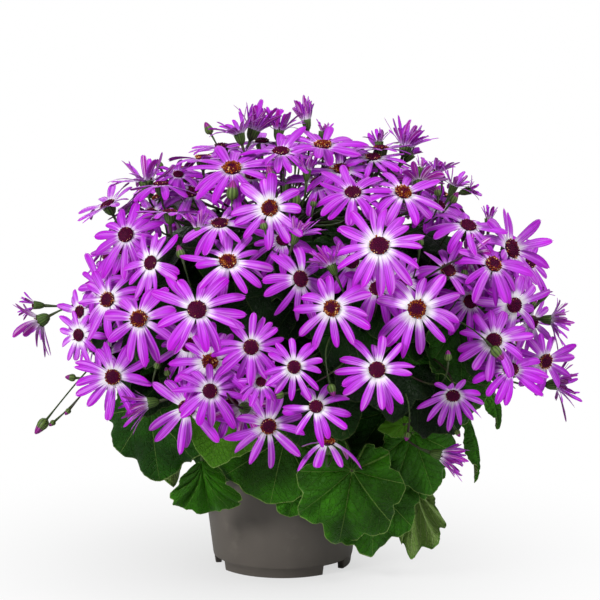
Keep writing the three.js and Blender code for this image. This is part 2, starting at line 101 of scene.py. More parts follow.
# Open heads of the show side: grid column and row, reach from the dome's centre, turn right and
# tilt up from facing the eye, radius, petals, age of the disc florets and lift of the petals.
# The first ones stand for solids, in their order.
SOLID_HEADS = [
    (379, 246, 1.07, 0, 28, 33, 17, 0.3, 4),
    (197, 310, 1.06, 0, 22, 32, 13, 0.1, 4),
    (228, 262, 0.97, 0, 38, 29.5, 14, 0.9, 2),
    (270, 208, 1.03, -15, 5, 28, 11, 0.7, 10),
    (332, 308, 1.02, -15, 0, 27.5, 12, 0.78, 8),
    (417, 309, 1.05, 0, 5, 30.5, 13, 0.72, 4),
    (251, 347, 1.0, 0, 0, 26, 17, 0.0, 2),
    (377, 370, 1.04, 0, 15, 28, 14, 0.15, 4),
    (113, 377, 1.03, -10, 0, 26.5, 16, 0.5, 0),
    (139, 319, 1.03, -15, 10, 29, 11, 0.75, -4),
    (300, 279, 0.95, 36, 12, 29, 11, 0.1, -12),
    (294, 367, 1.05, 0, 0, 22.5, 13, 0.0, 6),
    (268, 426, 1.0, 20, -10, 27, 11, 0.5, 8),
    (210, 391, 0.99, 0, 0, 25, 14, 0.0, 8),
    (232, 169, 1.02, 0, 52, 32, 13, 0.9, 2),
    (281, 152, 1.0, 0, 67, 29, 15, 0.2, 8),
    (353, 193, 1.0, 0, 52, 29, 12, 0.2, 4),
    (403, 193, 1.03, 18, 47, 29, 12, 0.9, 4),
    (468, 226, 1.0, 25, 52, 28.5, 12, 0.2, 0),
    (448, 271, 0.95, 20, 40, 26, 12, 0.3, 4),
    (493, 265, 1.04, 30, 35, 29, 13, 0.7, -4),
    (494, 341, 1.0, 0, 25, 28, 13, 0.1, 2),
    (126, 235, 1.0, -20, 20, 27.5, 12, 0.1, 0),
    (108, 300, 0.97, -35, 15, 26.5, 13, 0.5, 4),
    (545, 361, 1.02, 35, -15, 26.5, 12, 0.5, -6),
    (511, 249, 1.0, 52, 16, 34, 12, 0.3, 20),
    (40, 321, 1.0, -114, -26, 25, 12, 0.2, 36),
]
# Heads that face away: azimuth and height angle on the dome, radius and petals.
SOLID_BACK_HEADS = [
    (90, 4, 27, 13),
    (62, 34, 27, 14),
    (121, 30, 27, 12),
    (33, 2, 26, 13),
    (138, 6, 26, 12),
]
MORE_HEADS = [
    (323, 146, 1.0, 0, 68, 30, 13, 1.0, 16),
    (220, 224, 0.95, -10, 58, 28, 12, 0.3, 2),
    (341, 170, 0.93, 0, 58, 27, 12, 0.8, 4),
    (373, 158, 0.97, 0, 69, 25.5, 12, 0.3, 8),
    (483, 266, 0.92, 20, 20, 26, 12, 0.0, 12),
    (514, 305, 1.0, 25, -10, 27, 12, 0.0, -8),
    (511, 370, 1.05, 0, 35, 26.5, 12, 0.1, 4),
    (123, 250, 0.92, 0, 45, 24, 12, 0.9, 4),
    (151, 263, 0.99, -40, 15, 25.5, 12, 0.1, 2),
    (99, 288, 0.92, -45, 5, 24, 12, 0.1, 4),
    (79, 335, 0.99, -40, 0, 22, 11, 0.0, -4),
    (316, 407, 1.02, 0, 25, 23.5, 11, 0.0, 2),
    (187, 408, 0.97, -15, -15, 29, 11, 0.1, 0),
    (210, 362, 0.93, 0, 10, 27, 14, 1.0, 4),
    (453, 395, 0.98, 0, -36, 24, 13, 0.0, 30),
    (327, 443, 0.99, 10, 72, 26, 8, 0.8, -14),
    (377, 289, 0.92, 0, 30, 26, 13, 0.3, 0),
    (261, 382, 0.99, 0, 10, 17, 14, 0.0, 26),
    (203, 159, 0.98, 0, 80, 26, 12, 0.6, 8),
    (178, 175, 0.97, 10, 55, 18, 12, 0.1, 8),
    (161, 185, 1.0, -25, 86, 25, 13, 0.2, -12),
    (170, 213, 1.0, -5, 93, 24, 12, 0.2, 6),
    (108, 205, 1.0, -60, 60, 26, 11, 0.2, 18),
    (419, 183, 1.0, 0, 128, 22, 13, 0.2, 16),
    (381, 149, 0.99, 10, 84, 25, 12, 0.3, 14),
    (470, 255, 0.98, 150, 10, 18, 11, 0.0, 30),
    (245, 408, 0.93, 165, 0, 22, 12, 0.0, 4),
]
# Heads half hidden between and behind those: square, reach, turn, tilt and radius.
UNDER_HEADS = [
    (192, 193, 0.9, -20, 50, 24),
    (262, 142, 0.93, 0, 80, 25),
    (300, 141, 0.93, 0, 80, 25),
    (222, 147, 0.93, -5, 84, 25),
    (345, 146, 0.92, 5, 82, 25),
    (318, 183, 0.88, 0, 52, 25),
    (438, 206, 0.92, 25, 50, 25),
    (352, 262, 0.88, 0, 20, 25),
    (402, 280, 0.88, 10, 20, 25),
    (532, 322, 0.92, 40, -5, 24),
    (232, 404, 0.9, -10, 0, 23),
    (150, 214, 0.9, -30, 50, 24),
    (470, 302, 0.88, 20, 15, 24),
    (252, 176, 0.88, 0, 60, 25),
    (188, 345, 0.88, -10, 10, 24),
    (80, 312, 0.9, -50, 10, 23),
    (530, 262, 0.9, 50, 20, 24),
    (283, 240, 0.84, 0, 30, 24),
]

# Half-open heads: grid squares of the cup and of the petal tips, reach, petals, and how far from
# the head's axis the petals lean. The first ones stand for solids.
SOLID_HALF_OPEN_HEADS = 4
HALF_OPEN_HEADS = [
    (306, 120, 302, 96, 1.0, 12, 14),
    (239, 134, 231, 106, 1.02, 14, 46),
    (406, 146, 416, 114, 1.03, 14, 38),
    (556, 384, 586, 380, 1.0, 12, 52),
    (254, 130, 266, 99, 1.0, 13, 26),
    (279, 130, 283, 103, 0.99, 13, 40),
    (454, 186, 463, 165, 1.01, 13, 56),
    (296, 234, 304, 208, 0.98, 14, 40),
    (331, 265, 320, 241, 0.98, 16, 40),
    (148, 403, 119, 408, 0.98, 14, 24),
    (551, 320, 577, 322, 1.0, 14, 52),
    (441, 455, 469, 462, 0.98, 14, 18),
    (307, 170, 308, 149, 0.97, 12, 24),
    (489, 219, 490, 203, 0.99, 8, 14),
    (437, 172, 440, 149, 0.97, 12, 46),
    (198, 228, 197, 206, 0.96, 11, 24),
    (146, 181, 141, 143, 1.0, 12, 64),
    (323, 132, 326, 118, 1.0, 7, 24),
    (421, 168, 425, 156, 1.0, 7, 24),
    (412, 154, 420, 146, 1.0, 7, 18),
    (470, 190, 483, 186, 1.0, 8, 50),
    (379, 142, 378, 126, 1.0, 7, 34),
    (545, 293, 551, 284, 1.0, 7, 50),
    (34, 305, 17, 304, 1.0, 6, 34),
]

# Buds: grid squares of the foot of the cup and of the bud's tip, and reach.
BUDS = [
    (211, 134, 205, 122, 1.01),
    (161, 169, 157, 159, 1.0),
    (442, 181, 441, 171, 1.0),
    (438, 196, 437, 186, 1.0),
    (451, 203, 458, 192, 0.99),
    (265, 230, 262, 219, 0.98),
    (273, 183, 268, 166, 0.97),
    (295, 206, 296, 189, 0.97),
    (232, 200, 233, 180, 0.98),
    (182, 258, 178, 245, 0.97),
    (47, 419, 35, 434, 1.0),
    (55, 421, 49, 426, 1.0),
    (70, 409, 65, 415, 0.98),
    (76, 378, 65, 377, 0.98),
    (284, 394, 272, 397, 1.0),
    (330, 384, 334, 397, 1.0),
    (448, 361, 448, 350, 0.97),
    (531, 306, 537, 299, 0.98),
    (492, 347, 504, 361, 1.02),
    (464, 276, 465, 266, 0.96),
    (456, 430, 460, 437, 0.94),
    (156, 369, 159, 360, 0.95),
    (168, 376, 166, 367, 0.95),
    (420, 246, 421, 236, 0.97),
    (313, 207, 314, 198, 0.97),
    (408, 432, 406, 441, 0.92),
]

# Leaves of the show side: grid squares of the heart and of the tip, how far behind the pot's
# axis each lies, width scale, turn and lift of the upper face, azimuth of the stalk's root, how
# far the two halves fold up along the midrib, and the depth of the lobes.
SOLID_LEAVES = {
    "leaf_front_right": ((352, 470), (340, 549), (-104, -92), 0.88, 5, 20, -62, 0.05, 0.2),
    "leaf_front_middle": ((286, 436), (268, 504), (-88, -84), 1.45, -5, 20, -88, 0.05, 0.14),
    "leaf_front_left": ((202, 462), (207, 514), (-84, -78), 1.5, -10, 20, -124, 0.2, 0.14),
    "leaf_left_low": ((151, 407), (155, 473), (-64, -66), 1.27, -30, 20, -142, 0.05, 0.1),
    "leaf_left_bright": ((228, 403), (209, 454), (-108, -112), 1.2, -15, 30, -106, 0.1, 0.02),
    "leaf_under_right": ((371, 484), (376, 556), (-70, -72), 0.96, 15, 10, -50, 0.05, 0.14),
    "leaf_right_middle": ((412, 432), (433, 488), (-84, -76), 1.0, 15, 20, -38, 0.1, 0.12),
    "leaf_right_low": ((417, 474), (408, 549), (-38, -40), 1.0, 192, 0, -14, 0.05, 0.14),
    "leaf_right_edge": ((458, 402), (486, 472), (-40, -30), 0.14, 62, 5, -2, 0.05, 0.05),
    "leaf_right_inner": ((440, 362), (432, 440), (-92, -80), 1.0, 15, 15, -26, 0.05, 0.12),
}
# Leaves out of sight from there: heart and tip in mm, then the same values.
SOLID_BACK_LEAVES = {
    "leaf_back_right": ((70, 58, 108), (92, 84, 56), 1.25, 130, 20, 44, 0.05, 0.14),
    "leaf_back_middle": ((4, 88, 106), (-8, 106, 48), 1.3, 178, 20, 88, 0.05, 0.16),
    "leaf_back_left": ((-66, 62, 104), (-94, 80, 56), 1.3, 228, 20, 136, 0.05, 0.14),
    "leaf_left_high": ((-80, 14, 122), (-112, 22, 84), 1.1, 262, 25, 168, 0.05, 0.1),
}
MORE_LEAVES = {
    "leaf_right_upper": ((458, 320), (464, 380), (-96, -98), 0.95, 25, 20, -20, 0.05, 0.1),
    "leaf_far_right": ((479, 373), (504, 418), (-24, -18), 0.32, 62, 5, 4, 0.05, 0.05),
    "leaf_small_bright": ((404, 425), (383, 427), (-118, -122), 0.85, -5, 30, -46, 0.05, 0.05),
    "leaf_behind_middle": ((304, 466), (288, 516), (-74, -72), 1.1, 0, 10, -76, 0.05, 0.14),
    "leaf_left_inner": ((186, 356), (163, 410), (-80, -84), 1.0, -20, 15, -150, 0.05, 0.12),
    "leaf_behind_right": ((420, 446), (426, 496), (-66, -60), 0.75, 25, 10, -30, 0.1, 0.14),
    "leaf_behind_gap": ((386, 412), (352, 462), (-80, -76), 1.15, 5, 15, -70, 0.05, 0.12),
    "leaf_behind_left": ((224, 438), (214, 480), (-68, -64), 1.2, -10, 15, -112, 0.1, 0.14),
}
# Leaves drawn in to a fan: how far, and how much of the half turned away is in view.
PINCHED = {"leaf_right_low": (0.9, 0.45), "leaf_front_left": (0.9, 1.0)}
UNPINCHED = (0.0, 1.0)
# Tone of a leaf: above 0 its green is lighter, below 0 it is darkened with painted shade, for leaves
# under the flowers.
BRIGHT, PLAIN = 0.7, 0.1
SHADED = {
    "leaf_right_inner": -0.3,
    "leaf_right_upper": -0.3,
    "leaf_left_inner": -0.3,
    "leaf_left_low": -0.3,
    "leaf_behind_gap": -0.45,
}
INNER_LEAVES, INNER_REACH, CROWN_LEAVES = 64, 0.64, 18
INNER_LOW, INNER_SPAN = -0.25, 1.15  # the part of the dome's height that inner leaves fill

# A leaf has one main vein to each lobe, and side veins that leave it at a slant, a step apart.
LOBES = 9
LOBE_ANGLE = 2 * math.pi / LOBES
SIDE_VEIN_SLANT, SIDE_VEIN_STEP = 1.15, 0.155
TURN_OVER = (0.05, 0.45)  # the sides between which an underside's colour turns to the face's

# Objects that gather the inner and crown leaves, the far heads and the half-hidden ones.
INNER_SECTORS, CROWN_SECTORS, BACK_SECTORS, UNDER_SECTORS = 12, 4, 12, 3


# ---------------------------------------------------------------- vectors and curves


def unit(vectors):
    """Each vector divided by its length."""
    return vectors / np.maximum(np.linalg.norm(vectors, axis=-1, keepdims=True), 1e-9)


def polar(azimuth, radius, height):
    """The point at an azimuth in degrees, a distance from the pot's axis and a height."""
    angle = math.radians(azimuth)
    return np.array([radius * math.cos(angle), radius * math.sin(angle), height])


def wall(height):
    """Outer radius of the pot's plain wall at a height."""
    return FOOT_RADIUS + LEAN * height


def outward(azimuth, rise):
    """Unit direction at an azimuth and a height angle in degrees."""
    return polar(azimuth, math.cos(math.radians(rise)), math.sin(math.radians(rise)))


def sight_line(column, row):
    """Unit direction from the eye through a square of the drafting grid."""
    right = (column - GRID / 2) / FOCAL
    up = (GRID / 2 - row) / FOCAL
    cos, sin = math.cos(PITCH), math.sin(PITCH)
    return unit(np.array([right, cos + up * sin, -sin + up * cos]))


def dome_point(column, row, reach):
    """Where a sight line first meets the dome scaled by reach, or comes closest to it."""
    line = sight_line(column, row)
    for rise in (DOME_RISE, DOME_FALL):
        half_axes = np.array([DOME_WIDTH, DOME_DEPTH, rise])
        start, along = (EYE - DOME_CENTRE) / half_axes, line / half_axes
        steps = along @ along
        closest = -(start @ along) / steps
        miss = start @ start - closest * closest * steps
        point = EYE + line * (closest - math.sqrt(max(0.0, reach * reach - miss) / steps))
        if point[2] >= DOME_CENTRE[2]:
            break
    return point


def aimed(column, row, tip_column, tip_row, reach):
    """A dome point, the unit direction to its tip, as far from the eye, and the length to it."""
    base = dome_point(column, row, reach)
    tip = EYE + sight_line(tip_column, tip_row) * np.linalg.norm(base - EYE)
    return base, unit(tip - base), np.linalg.norm(tip - base)


def square_at(column, row, depth):
    """The point of a square's sight line that lies depth behind the pot's axis."""
    line = sight_line(column, row)
    return EYE + line * (depth - EYE[1]) / line[1]


def facing_from(centre, yaw, tilt):
    """Direction turned right by yaw and up by tilt from the one that faces the eye."""
    to_eye = unit(EYE - centre)
    right = unit(np.cross(UP, to_eye))
    up = np.cross(to_eye, right)
    yaw, tilt = math.radians(yaw), math.radians(tilt)
    ahead = math.cos(tilt) * (math.cos(yaw) * to_eye + math.sin(yaw) * right)
    return ahead + math.sin(tilt) * up


def axes_facing(facing, spin=0.0):
    """Rows are the right, up and forward axes of a head that faces one way, turned by spin."""
    helper = UP if abs(facing[2]) < 0.9 else np.array([0.0, 1.0, 0.0])
    right = unit(np.cross(helper, facing))
    up = np.cross(facing, right)
    cos, sin = math.cos(spin), math.sin(spin)
    return np.stack([cos * right + sin * up, cos * up - sin * right, facing])


def bezier(start, leave, arrive, end, steps):
    """Points of a cubic curve, evenly spaced in its parameter."""
    u = np.linspace(0, 1, steps)[:, None]
    v = 1 - u
    return v**3 * start + 3 * v * v * u * leave + 3 * v * u * u * arrive + u**3 * end


def around(count):
    """Angles evenly spaced round a full turn."""
    return 2 * np.pi * np.arange(count) / count


def seeded(name, factor):
    """A random generator that belongs to a name, and to the number at its end if it has one."""
    number = int(name[-2:]) if name[-2:].isdigit() else 0
    return np.random.default_rng(sum(map(ord, name)) * factor + number)


# ---------------------------------------------------------------- meshes

RIM_SIDE = 0.5  # the side of a thin sheet's rim: its upper skin is 1 and its lower one 0


def grid_quads(rows, columns, wrap=False):
    """Corner numbers of a rows by columns grid's quads, closed round its columns if wrap."""
    index = np.arange(rows * columns).reshape(rows, columns)
    if wrap:
        index = np.concatenate([index, index[:, :1]], axis=1)
    corners = [index[:-1, :-1], index[:-1, 1:], index[1:, 1:], index[1:, :-1]]
    return np.stack(corners, axis=-1).reshape(-1, 4)


def capped_rings(rows, sides, reverse=False):
    """Faces of stacked rings of points, with a fan at each end to the two points after them."""
    first = np.arange(sides)
    last = first + (rows - 1) * sides
    low = np.stack([np.full(sides, rows * sides), np.roll(first, -1), first], axis=-1)
    high = np.stack([np.full(sides, rows * sides + 1), last, np.roll(last, -1)], axis=-1)
    faces = [grid_quads(rows, sides, wrap=True), low, high]
    return [group[:, ::-1] for group in faces] if reverse else faces


def ring_places(rows, sides, along):
    """The places of stacked rings and of the two points that close their ends."""
    places = np.zeros((rows * sides + 2, 3))
    places[:-2, 0] = np.tile(np.arange(sides) / sides, rows)
    places[:-2, 1] = np.repeat(along, sides)
    places[-1, 1] = 1
    return places


def revolved(radius, angle, height):
    """The points at every radius, angle and height of the given arrays, in one list."""
    x, y = radius * np.cos(angle), radius * np.sin(angle)
    return np.stack([x, y, height + 0 * x], axis=-1).reshape(-1, 3)


class Piece:
    """One object in the making. Shells are added one by one, each with its finish.

    Every point carries "place" (across, along and side of its own surface, 0 to 1), "blade" (its
    place in a leaf's own plane, in blade lengths) and "tone" (a number that varies its colour, in
    part as painted shade)."""

    def __init__(self):
        self.points, self.places, self.blades, self.tones = [], [], [], []
        self.faces, self.finishes = [], []
        self.count = 0

    def add(self, points, faces, place=0.0, tone=0.5, finish=0, blade=0.0):
        self.points.append(points)
        self.places.append(np.broadcast_to(place, points.shape))
        self.blades.append(np.broadcast_to(blade, points.shape))
        self.tones.append(np.broadcast_to(tone, len(points)))
        for group in faces:
            self.faces.append(group + self.count)
            self.finishes.append(np.full(len(group), finish))
        self.count += len(points)

    def make(self, name, materials, slot):
        """The finished object. The edges of a thin sheet's rim are left crisp."""
        mesh = bpy.data.meshes.new(name)
        faces = [corners for group in self.faces for corners in group.tolist()]
        mesh.from_pydata(np.concatenate(self.points) * METRES, [], faces)
        mesh.polygons.foreach_set("material_index", np.concatenate(self.finishes).astype(np.int32))
        mesh.polygons.foreach_set("use_smooth", np.ones(len(faces), dtype=bool))
        for label, vectors in (("place", self.places), ("blade", self.blades)):
            store = mesh.attributes.new(label, "FLOAT_VECTOR", "POINT")
            store.data.foreach_set("vector", np.concatenate(vectors).astype(np.float32).ravel())
        tone = mesh.attributes.new("tone", "FLOAT", "POINT")
        tone.data.foreach_set("value", np.concatenate(self.tones).astype(np.float32))
        for material in materials:
            mesh.materials.append(material)
        mesh.update()
        ends = np.zeros(2 * len(mesh.edges), dtype=np.int32)
        mesh.edges.foreach_get("vertices", ends)
        at_rim = np.concatenate(self.places)[:, 2] == RIM_SIDE
        crisp = mesh.attributes.new("sharp_edge", "BOOLEAN", "EDGE")
        crisp.data.foreach_set("value", at_rim[ends.reshape(-1, 2)].all(axis=1))
        piece = bpy.data.objects.new(name, mesh)
        bpy.context.scene.collection.objects.link(piece)
        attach(piece, "root")
        return piece


def thin_shell(points, thickness):
    """Closed shells made from open sheets of shape (sheets, rows, columns, 3). The upper sheet
    lies half the thickness above, the lower half below, and both share the sheet's edge."""
    sheets, rows, columns, _ = points.shape
    normal = unit(np.cross(np.gradient(points, axis=1), np.gradient(points, axis=2)))
    inner = np.zeros((rows, columns, 1))
    inner[1:-1, 1:-1] = 0.5
    upper = points + normal * thickness * inner
    lower = (points - normal * thickness * inner)[:, 1:-1, 1:-1]
    size = rows * columns
    total = size + (rows - 2) * (columns - 2)
    under = np.arange(size).reshape(rows, columns)
    under[1:-1, 1:-1] = np.arange(size, total).reshape(rows - 2, -1)
    quads = grid_quads(rows, columns)
    both = np.concatenate([quads[:, ::-1], under.ravel()[quads]])
    faces = (both[None] + total * np.arange(sheets)[:, None, None]).reshape(-1, 4)
    joined = np.concatenate([upper.reshape(sheets, size, 3), lower.reshape(sheets, -1, 3)], axis=1)
    return joined, faces


def shell_places(across, along):
    """The place of every point of a thin_shell: across and along of its sheet, and its side."""
    side = np.full(across.shape, 1.0)
    side[0] = side[-1] = side[:, 0] = side[:, -1] = RIM_SIDE
    upper = np.stack([across, along, side], axis=-1).reshape(-1, 3)
    lower = np.stack([across, along, 0 * side], axis=-1)[1:-1, 1:-1].reshape(-1, 3)
    return np.concatenate([upper, lower])


def turned(profile, sides, wave=0.0):
    """A closed skin of revolution: rows of (radius, height), both ends on the axis. wave gives
    each spoke's change of radius. Returns points, faces and the places of the points."""
    radius, height = np.asarray(profile, dtype=float).T[:, :, None]
    rows = len(radius) - 2
    body = revolved(radius[1:-1] * (1 + wave), around(sides), height[1:-1])
    points = np.concatenate([body, [[0, 0, height[0, 0]], [0, 0, height[-1, 0]]]])
    along = np.linspace(0, 1, rows + 2)[1:-1]
    return points, capped_rings(rows, sides), ring_places(rows, sides, along)


def tube(path, radii, sides):
    """A closed tube along a path, with a radius at every point of it."""
    tangent = unit(np.gradient(path, axis=0))
    plane = np.cross(path[-1] - path[0], tangent[0] - tangent[-1] + 1e-4)
    side = unit(np.cross(tangent, unit(plane + 1e-6)))
    lift = np.cross(side, tangent)
    angle = around(sides)[:, None]
    ring = np.cos(angle) * side[:, None] + np.sin(angle) * lift[:, None]
    body = (path[:, None] + ring * np.asarray(radii)[:, None, None]).reshape(-1, 3)
    rows = len(path)
    places = ring_places(rows, sides, np.linspace(0, 1, rows))
    return np.concatenate([body, path[:1], path[-1:]]), capped_rings(rows, sides, True), places


# ---------------------------------------------------------------- shader groups


def colour(shade):
    """A colour given in screen values, 0 to 255, as the linear one that a shader takes."""
    values = np.array(shade) / 255
    linear = np.where(values <= 0.04045, values / 12.92, ((values + 0.055) / 1.055) ** 2.4)
    return (*linear.tolist(), 1.0)


class Nodes:
    """Short ways to add and join the nodes of one tree. A tuple stands for a colour."""

    def __init__(self, tree):
        self.tree = tree

    def node(self, kind, **settings):
        made = self.tree.nodes.new(kind)
        for name, value in settings.items():
            setattr(made, name, value)
        return made

    def put(self, socket, value):
        if isinstance(value, bpy.types.NodeSocket):
            self.tree.links.new(value, socket)
        else:
            socket.default_value = colour(value) if isinstance(value, tuple) else value

    def fed(self, kind, output, settings, **inputs):
        """The output of a new node whose named inputs are given."""
        made = self.node(kind, **settings)
        for name, value in inputs.items():
            self.put(made.inputs[name.replace("_", " ")], value)
        return made.outputs[output]

    def math(self, operation, *values):
        made = self.node("ShaderNodeMath", operation=operation)
        for socket, value in zip(made.inputs, values):
            self.put(socket, value)
        return made.outputs[0]

    def times(self, first, second):
        return self.math("MULTIPLY", first, second)

    def minus(self, first, second):
        return self.math("SUBTRACT", first, second)

    def line(self, value, slope, start):
        """start plus slope times the value."""
        return self.math("MULTIPLY_ADD", value, slope, start)

    def size(self, value):
        return self.math("ABSOLUTE", value)

    def off_step(self, value):
        """How far a value lies from the nearest whole number, below it or above."""
        return self.minus(value, self.math("ROUND", value))

    def ribs(self, across, count):
        """0 in the furrows and 1 on the ridges of lengthwise ribs."""
        return self.size(self.math("SINE", self.times(across, count * math.pi)))

    def smooth(self, value, low, high):
        """0 below low, 1 above high and a smooth rise between."""
        settings = {"interpolation_type": "SMOOTHSTEP"}
        limits = {"From_Min": low, "From_Max": high}
        return self.fed("ShaderNodeMapRange", "Result", settings, Value=value, **limits)

    def below(self, value, low, high):
        """1 below low, 0 above high and a smooth fall between."""
        return self.minus(1.0, self.smooth(value, low, high))

    def mix(self, factor, first, second):
        settings = {"data_type": "RGBA"}
        return self.fed("ShaderNodeMix", "Result", settings, Factor=factor, A=first, B=second)

    def tint(self, body, mask, amount, shade):
        """The body's colour, drawn by the amount towards a shade where the mask is 1."""
        return self.mix(self.times(mask, amount), body, shade)

    def ramp(self, value, stops):
        made = self.node("ShaderNodeValToRGB")
        elements = made.color_ramp.elements
        while len(elements) < len(stops):
            elements.new(0.5)
        for element, (position, shade) in zip(elements, stops):
            element.position = position
            element.color = colour(shade)
        self.put(made.inputs["Fac"], value)
        return made.outputs["Color"]

    def noise(self, vector, scale, detail=2.0, roughness=0.5):
        inputs = {"Vector": vector, "Scale": scale, "Detail": detail, "Roughness": roughness}
        return self.fed("ShaderNodeTexNoise", "Fac", {}, **inputs)

    def parts(self, vector):
        made = self.node("ShaderNodeSeparateXYZ")
        self.put(made.inputs[0], vector)
        return tuple(made.outputs)

    def attribute(self, name):
        return self.node("ShaderNodeAttribute", attribute_name=name).outputs

    def place(self):
        """across, along and side of the surface, and the vector of all three."""
        vector = self.attribute("place")["Vector"]
        return (*self.parts(vector), vector)

    def tone(self):
        return self.attribute("tone")["Fac"]

    def own(self):
        return self.node("ShaderNodeTexCoord").outputs["Object"]


def new_group(name, inputs, outputs):
    """A shader group with named sockets, as its Nodes, its inputs and its output node."""
    group = bpy.data.node_groups.new(name, "ShaderNodeTree")
    for socket, kind in inputs.items():
        group.interface.new_socket(socket, in_out="INPUT", socket_type=kind)
    for socket in outputs:
        group.interface.new_socket(socket, in_out="OUTPUT", socket_type="NodeSocketFloat")
    nodes = Nodes(group)
    return nodes, nodes.node("NodeGroupInput").outputs, nodes.node("NodeGroupOutput").inputs


def use_group(nodes, name, **values):
    made = nodes.node("ShaderNodeGroup", node_tree=bpy.data.node_groups[name])
    for socket, value in values.items():
        nodes.put(made.inputs[socket], value)
    return made.outputs


def make_fibre_group():
    """Fine lines that run along a surface: many to its width, few to its length, and uneven."""
    inputs = {"Place": "NodeSocketVector", "Count": "NodeSocketFloat", "Seed": "NodeSocketFloat"}
    nodes, given, result = new_group("fibres", inputs, ["Lines", "Streaks"])
    across, along, _ = nodes.parts(given["Place"])
    shift = {"Y": nodes.times(along, 1.2), "Z": nodes.times(given["Seed"], 37.0)}
    spot = nodes.fed("ShaderNodeCombineXYZ", 0, {}, X=nodes.times(across, given["Count"]), **shift)
    nodes.put(result["Lines"], nodes.noise(spot, 1.0, 2.5))
    nodes.put(result["Streaks"], nodes.noise(spot, 0.5, 1.0))


def make_vein_group():
    """Palmate veins of a blade whose place is its own plane in blade lengths: one ray to each
    lobe from the heart, side veins that leave them at a slant, and a fine net between."""
    inputs = {"Blade": "NodeSocketVector"}
    nodes, given, result = new_group("palmate_veins", inputs, ["Main", "Side", "Net"])
    x, y, _ = nodes.parts(given["Blade"])
    out = nodes.math("SQRT", nodes.math("ADD", nodes.times(x, x), nodes.times(y, y)))
    turns = nodes.math("DIVIDE", nodes.math("ARCTAN2", y, x), LOBE_ANGLE)
    off = nodes.times(nodes.off_step(turns), LOBE_ANGLE)
    beside = nodes.size(nodes.times(out, nodes.math("SINE", off)))
    along = nodes.times(out, nodes.math("COSINE", off))
    taper = nodes.line(out, -0.009, 0.0135)
    nodes.put(result["Main"], nodes.below(beside, nodes.times(taper, 0.35), taper))
    slant = nodes.minus(along, nodes.times(beside, SIDE_VEIN_SLANT))
    gap = nodes.size(nodes.off_step(nodes.math("DIVIDE", slant, SIDE_VEIN_STEP)))
    branches = nodes.times(nodes.below(gap, 0.015, 0.065), nodes.smooth(out, 0.12, 0.3))
    nodes.put(result["Side"], branches)
    cells = {"feature": "DISTANCE_TO_EDGE"}
    wall = nodes.fed("ShaderNodeTexVoronoi", "Distance", cells, Vector=given["Blade"], Scale=17.0)
    nodes.put(result["Net"], nodes.below(wall, 0.0, 0.12))


# ---------------------------------------------------------------- materials


class Paint(Nodes):
    """The nodes of one material, with the plain values of its Principled shader."""

    def __init__(self, name, roughness, specular):
        self.material = bpy.data.materials.new(name)
        self.material.use_nodes = True
        super().__init__(self.material.node_tree)
        self.shader = self.tree.nodes["Principled BSDF"].inputs
        self.shader["Roughness"].default_value = roughness
        self.shader["Specular IOR Level"].default_value = specular

    def finish(self, body, relief, strength, depth):
        """Colour and relief go to the shader. The depth is in mm. Returns the material."""
        self.put(self.shader["Base Color"], body)
        depths = {"Strength": strength, "Distance": depth * METRES}
        bump = self.fed("ShaderNodeBump", "Normal", {}, Height=relief, **depths)
        self.put(self.shader["Normal"], bump)
        return self.material


def petal_material():
    """White at the foot with streaks into magenta, deeper towards the edges and the tip, fine
    lengthwise veins, and an underside with pale streaks. The darker edges are partly painted shade
    where petals meet, the darker grooves are partly painted shade in the furrows, and heads that face
    upwards are painted deeper as shade."""
    paint = Paint("petal", 0.55, 0.15)
    across, along, side, place = paint.place()
    tone = paint.tone()
    fibres = use_group(paint, "fibres", Place=place, Count=13.0, Seed=tone)
    lines, streaks = fibres["Lines"], fibres["Streaks"]
    centred = paint.size(paint.line(across, 2.0, -1.0))
    dyed = paint.math("ADD", along, paint.line(lines, 0.44, -0.22))
    dyed = paint.math("ADD", dyed, paint.times(centred, 0.05))
    dyed = paint.math("ADD", dyed, paint.line(tone, 0.2, -0.1))
    dyed = paint.math("ADD", dyed, paint.line(streaks, -0.36, 0.18))
    white = paint.below(dyed, 0.05, 0.36)
    groove = paint.below(paint.size(paint.minus(centred, 0.5)), 0.05, 0.3)
    body = paint.mix(paint.smooth(centred, 0.15, 0.9), (216, 62, 252), (196, 16, 228))
    body = paint.mix(paint.smooth(along, 0.62, 1.0), body, (204, 12, 224))
    body = paint.tint(body, paint.below(dyed, 0.22, 0.85), 0.62, (216, 128, 250))
    body = paint.tint(body, paint.smooth(lines, 0.5, 0.6), 0.68, (128, 0, 156))
    # Darker along the petal's two grooves: partly the colour of their veins, partly painted shade in
    # the furrows.
    body = paint.tint(body, groove, 0.36, (146, 4, 180))
    body = paint.tint(body, paint.smooth(streaks, 0.5, 0.66), 0.6, (238, 158, 255))
    # Deeper magenta by the head's tone: partly random variation, partly painted shade on heads that
    # face upwards.
    body = paint.tint(body, tone, 0.45, (168, 4, 194))
    # Darker towards the side edges: partly the petal's own deeper margin, partly painted shade
    # between neighbouring petals.
    body = paint.tint(body, paint.smooth(centred, 0.74, 1.0), 0.55, (126, 4, 150))
    face = paint.mix(white, body, (248, 244, 252))
    under = paint.mix(0.7, body, (150, 4, 116))
    under = paint.tint(under, paint.smooth(streaks, 0.56, 0.62), 0.7, (250, 206, 255))
    under = paint.tint(under, white, 0.7, (238, 226, 246))
    paint.shader["Sheen Weight"].default_value = 0.15
    return paint.finish(paint.mix(paint.smooth(side, *TURN_OVER), under, face), lines, 0.35, 0.25)


def floret_material():
    """Disc florets from near-black maroon through brown to orange pollen, by their tone."""
    paint = Paint("florets", 0.6, 0.12)
    stops = [
        (0.0, (40, 0, 36)),
        (0.3, (100, 0, 58)),
        (0.5, (118, 20, 30)),
        (0.68, (134, 56, 14)),
        (0.88, (190, 102, 26)),
        (1.0, (236, 190, 124)),
    ]
    speckle = paint.line(paint.noise(paint.own(), 2600.0), 0.3, -0.15)
    ripeness = paint.math("ADD", paint.tone(), speckle)
    paint.put(paint.shader["Base Color"], paint.ramp(ripeness, stops))
    return paint.material


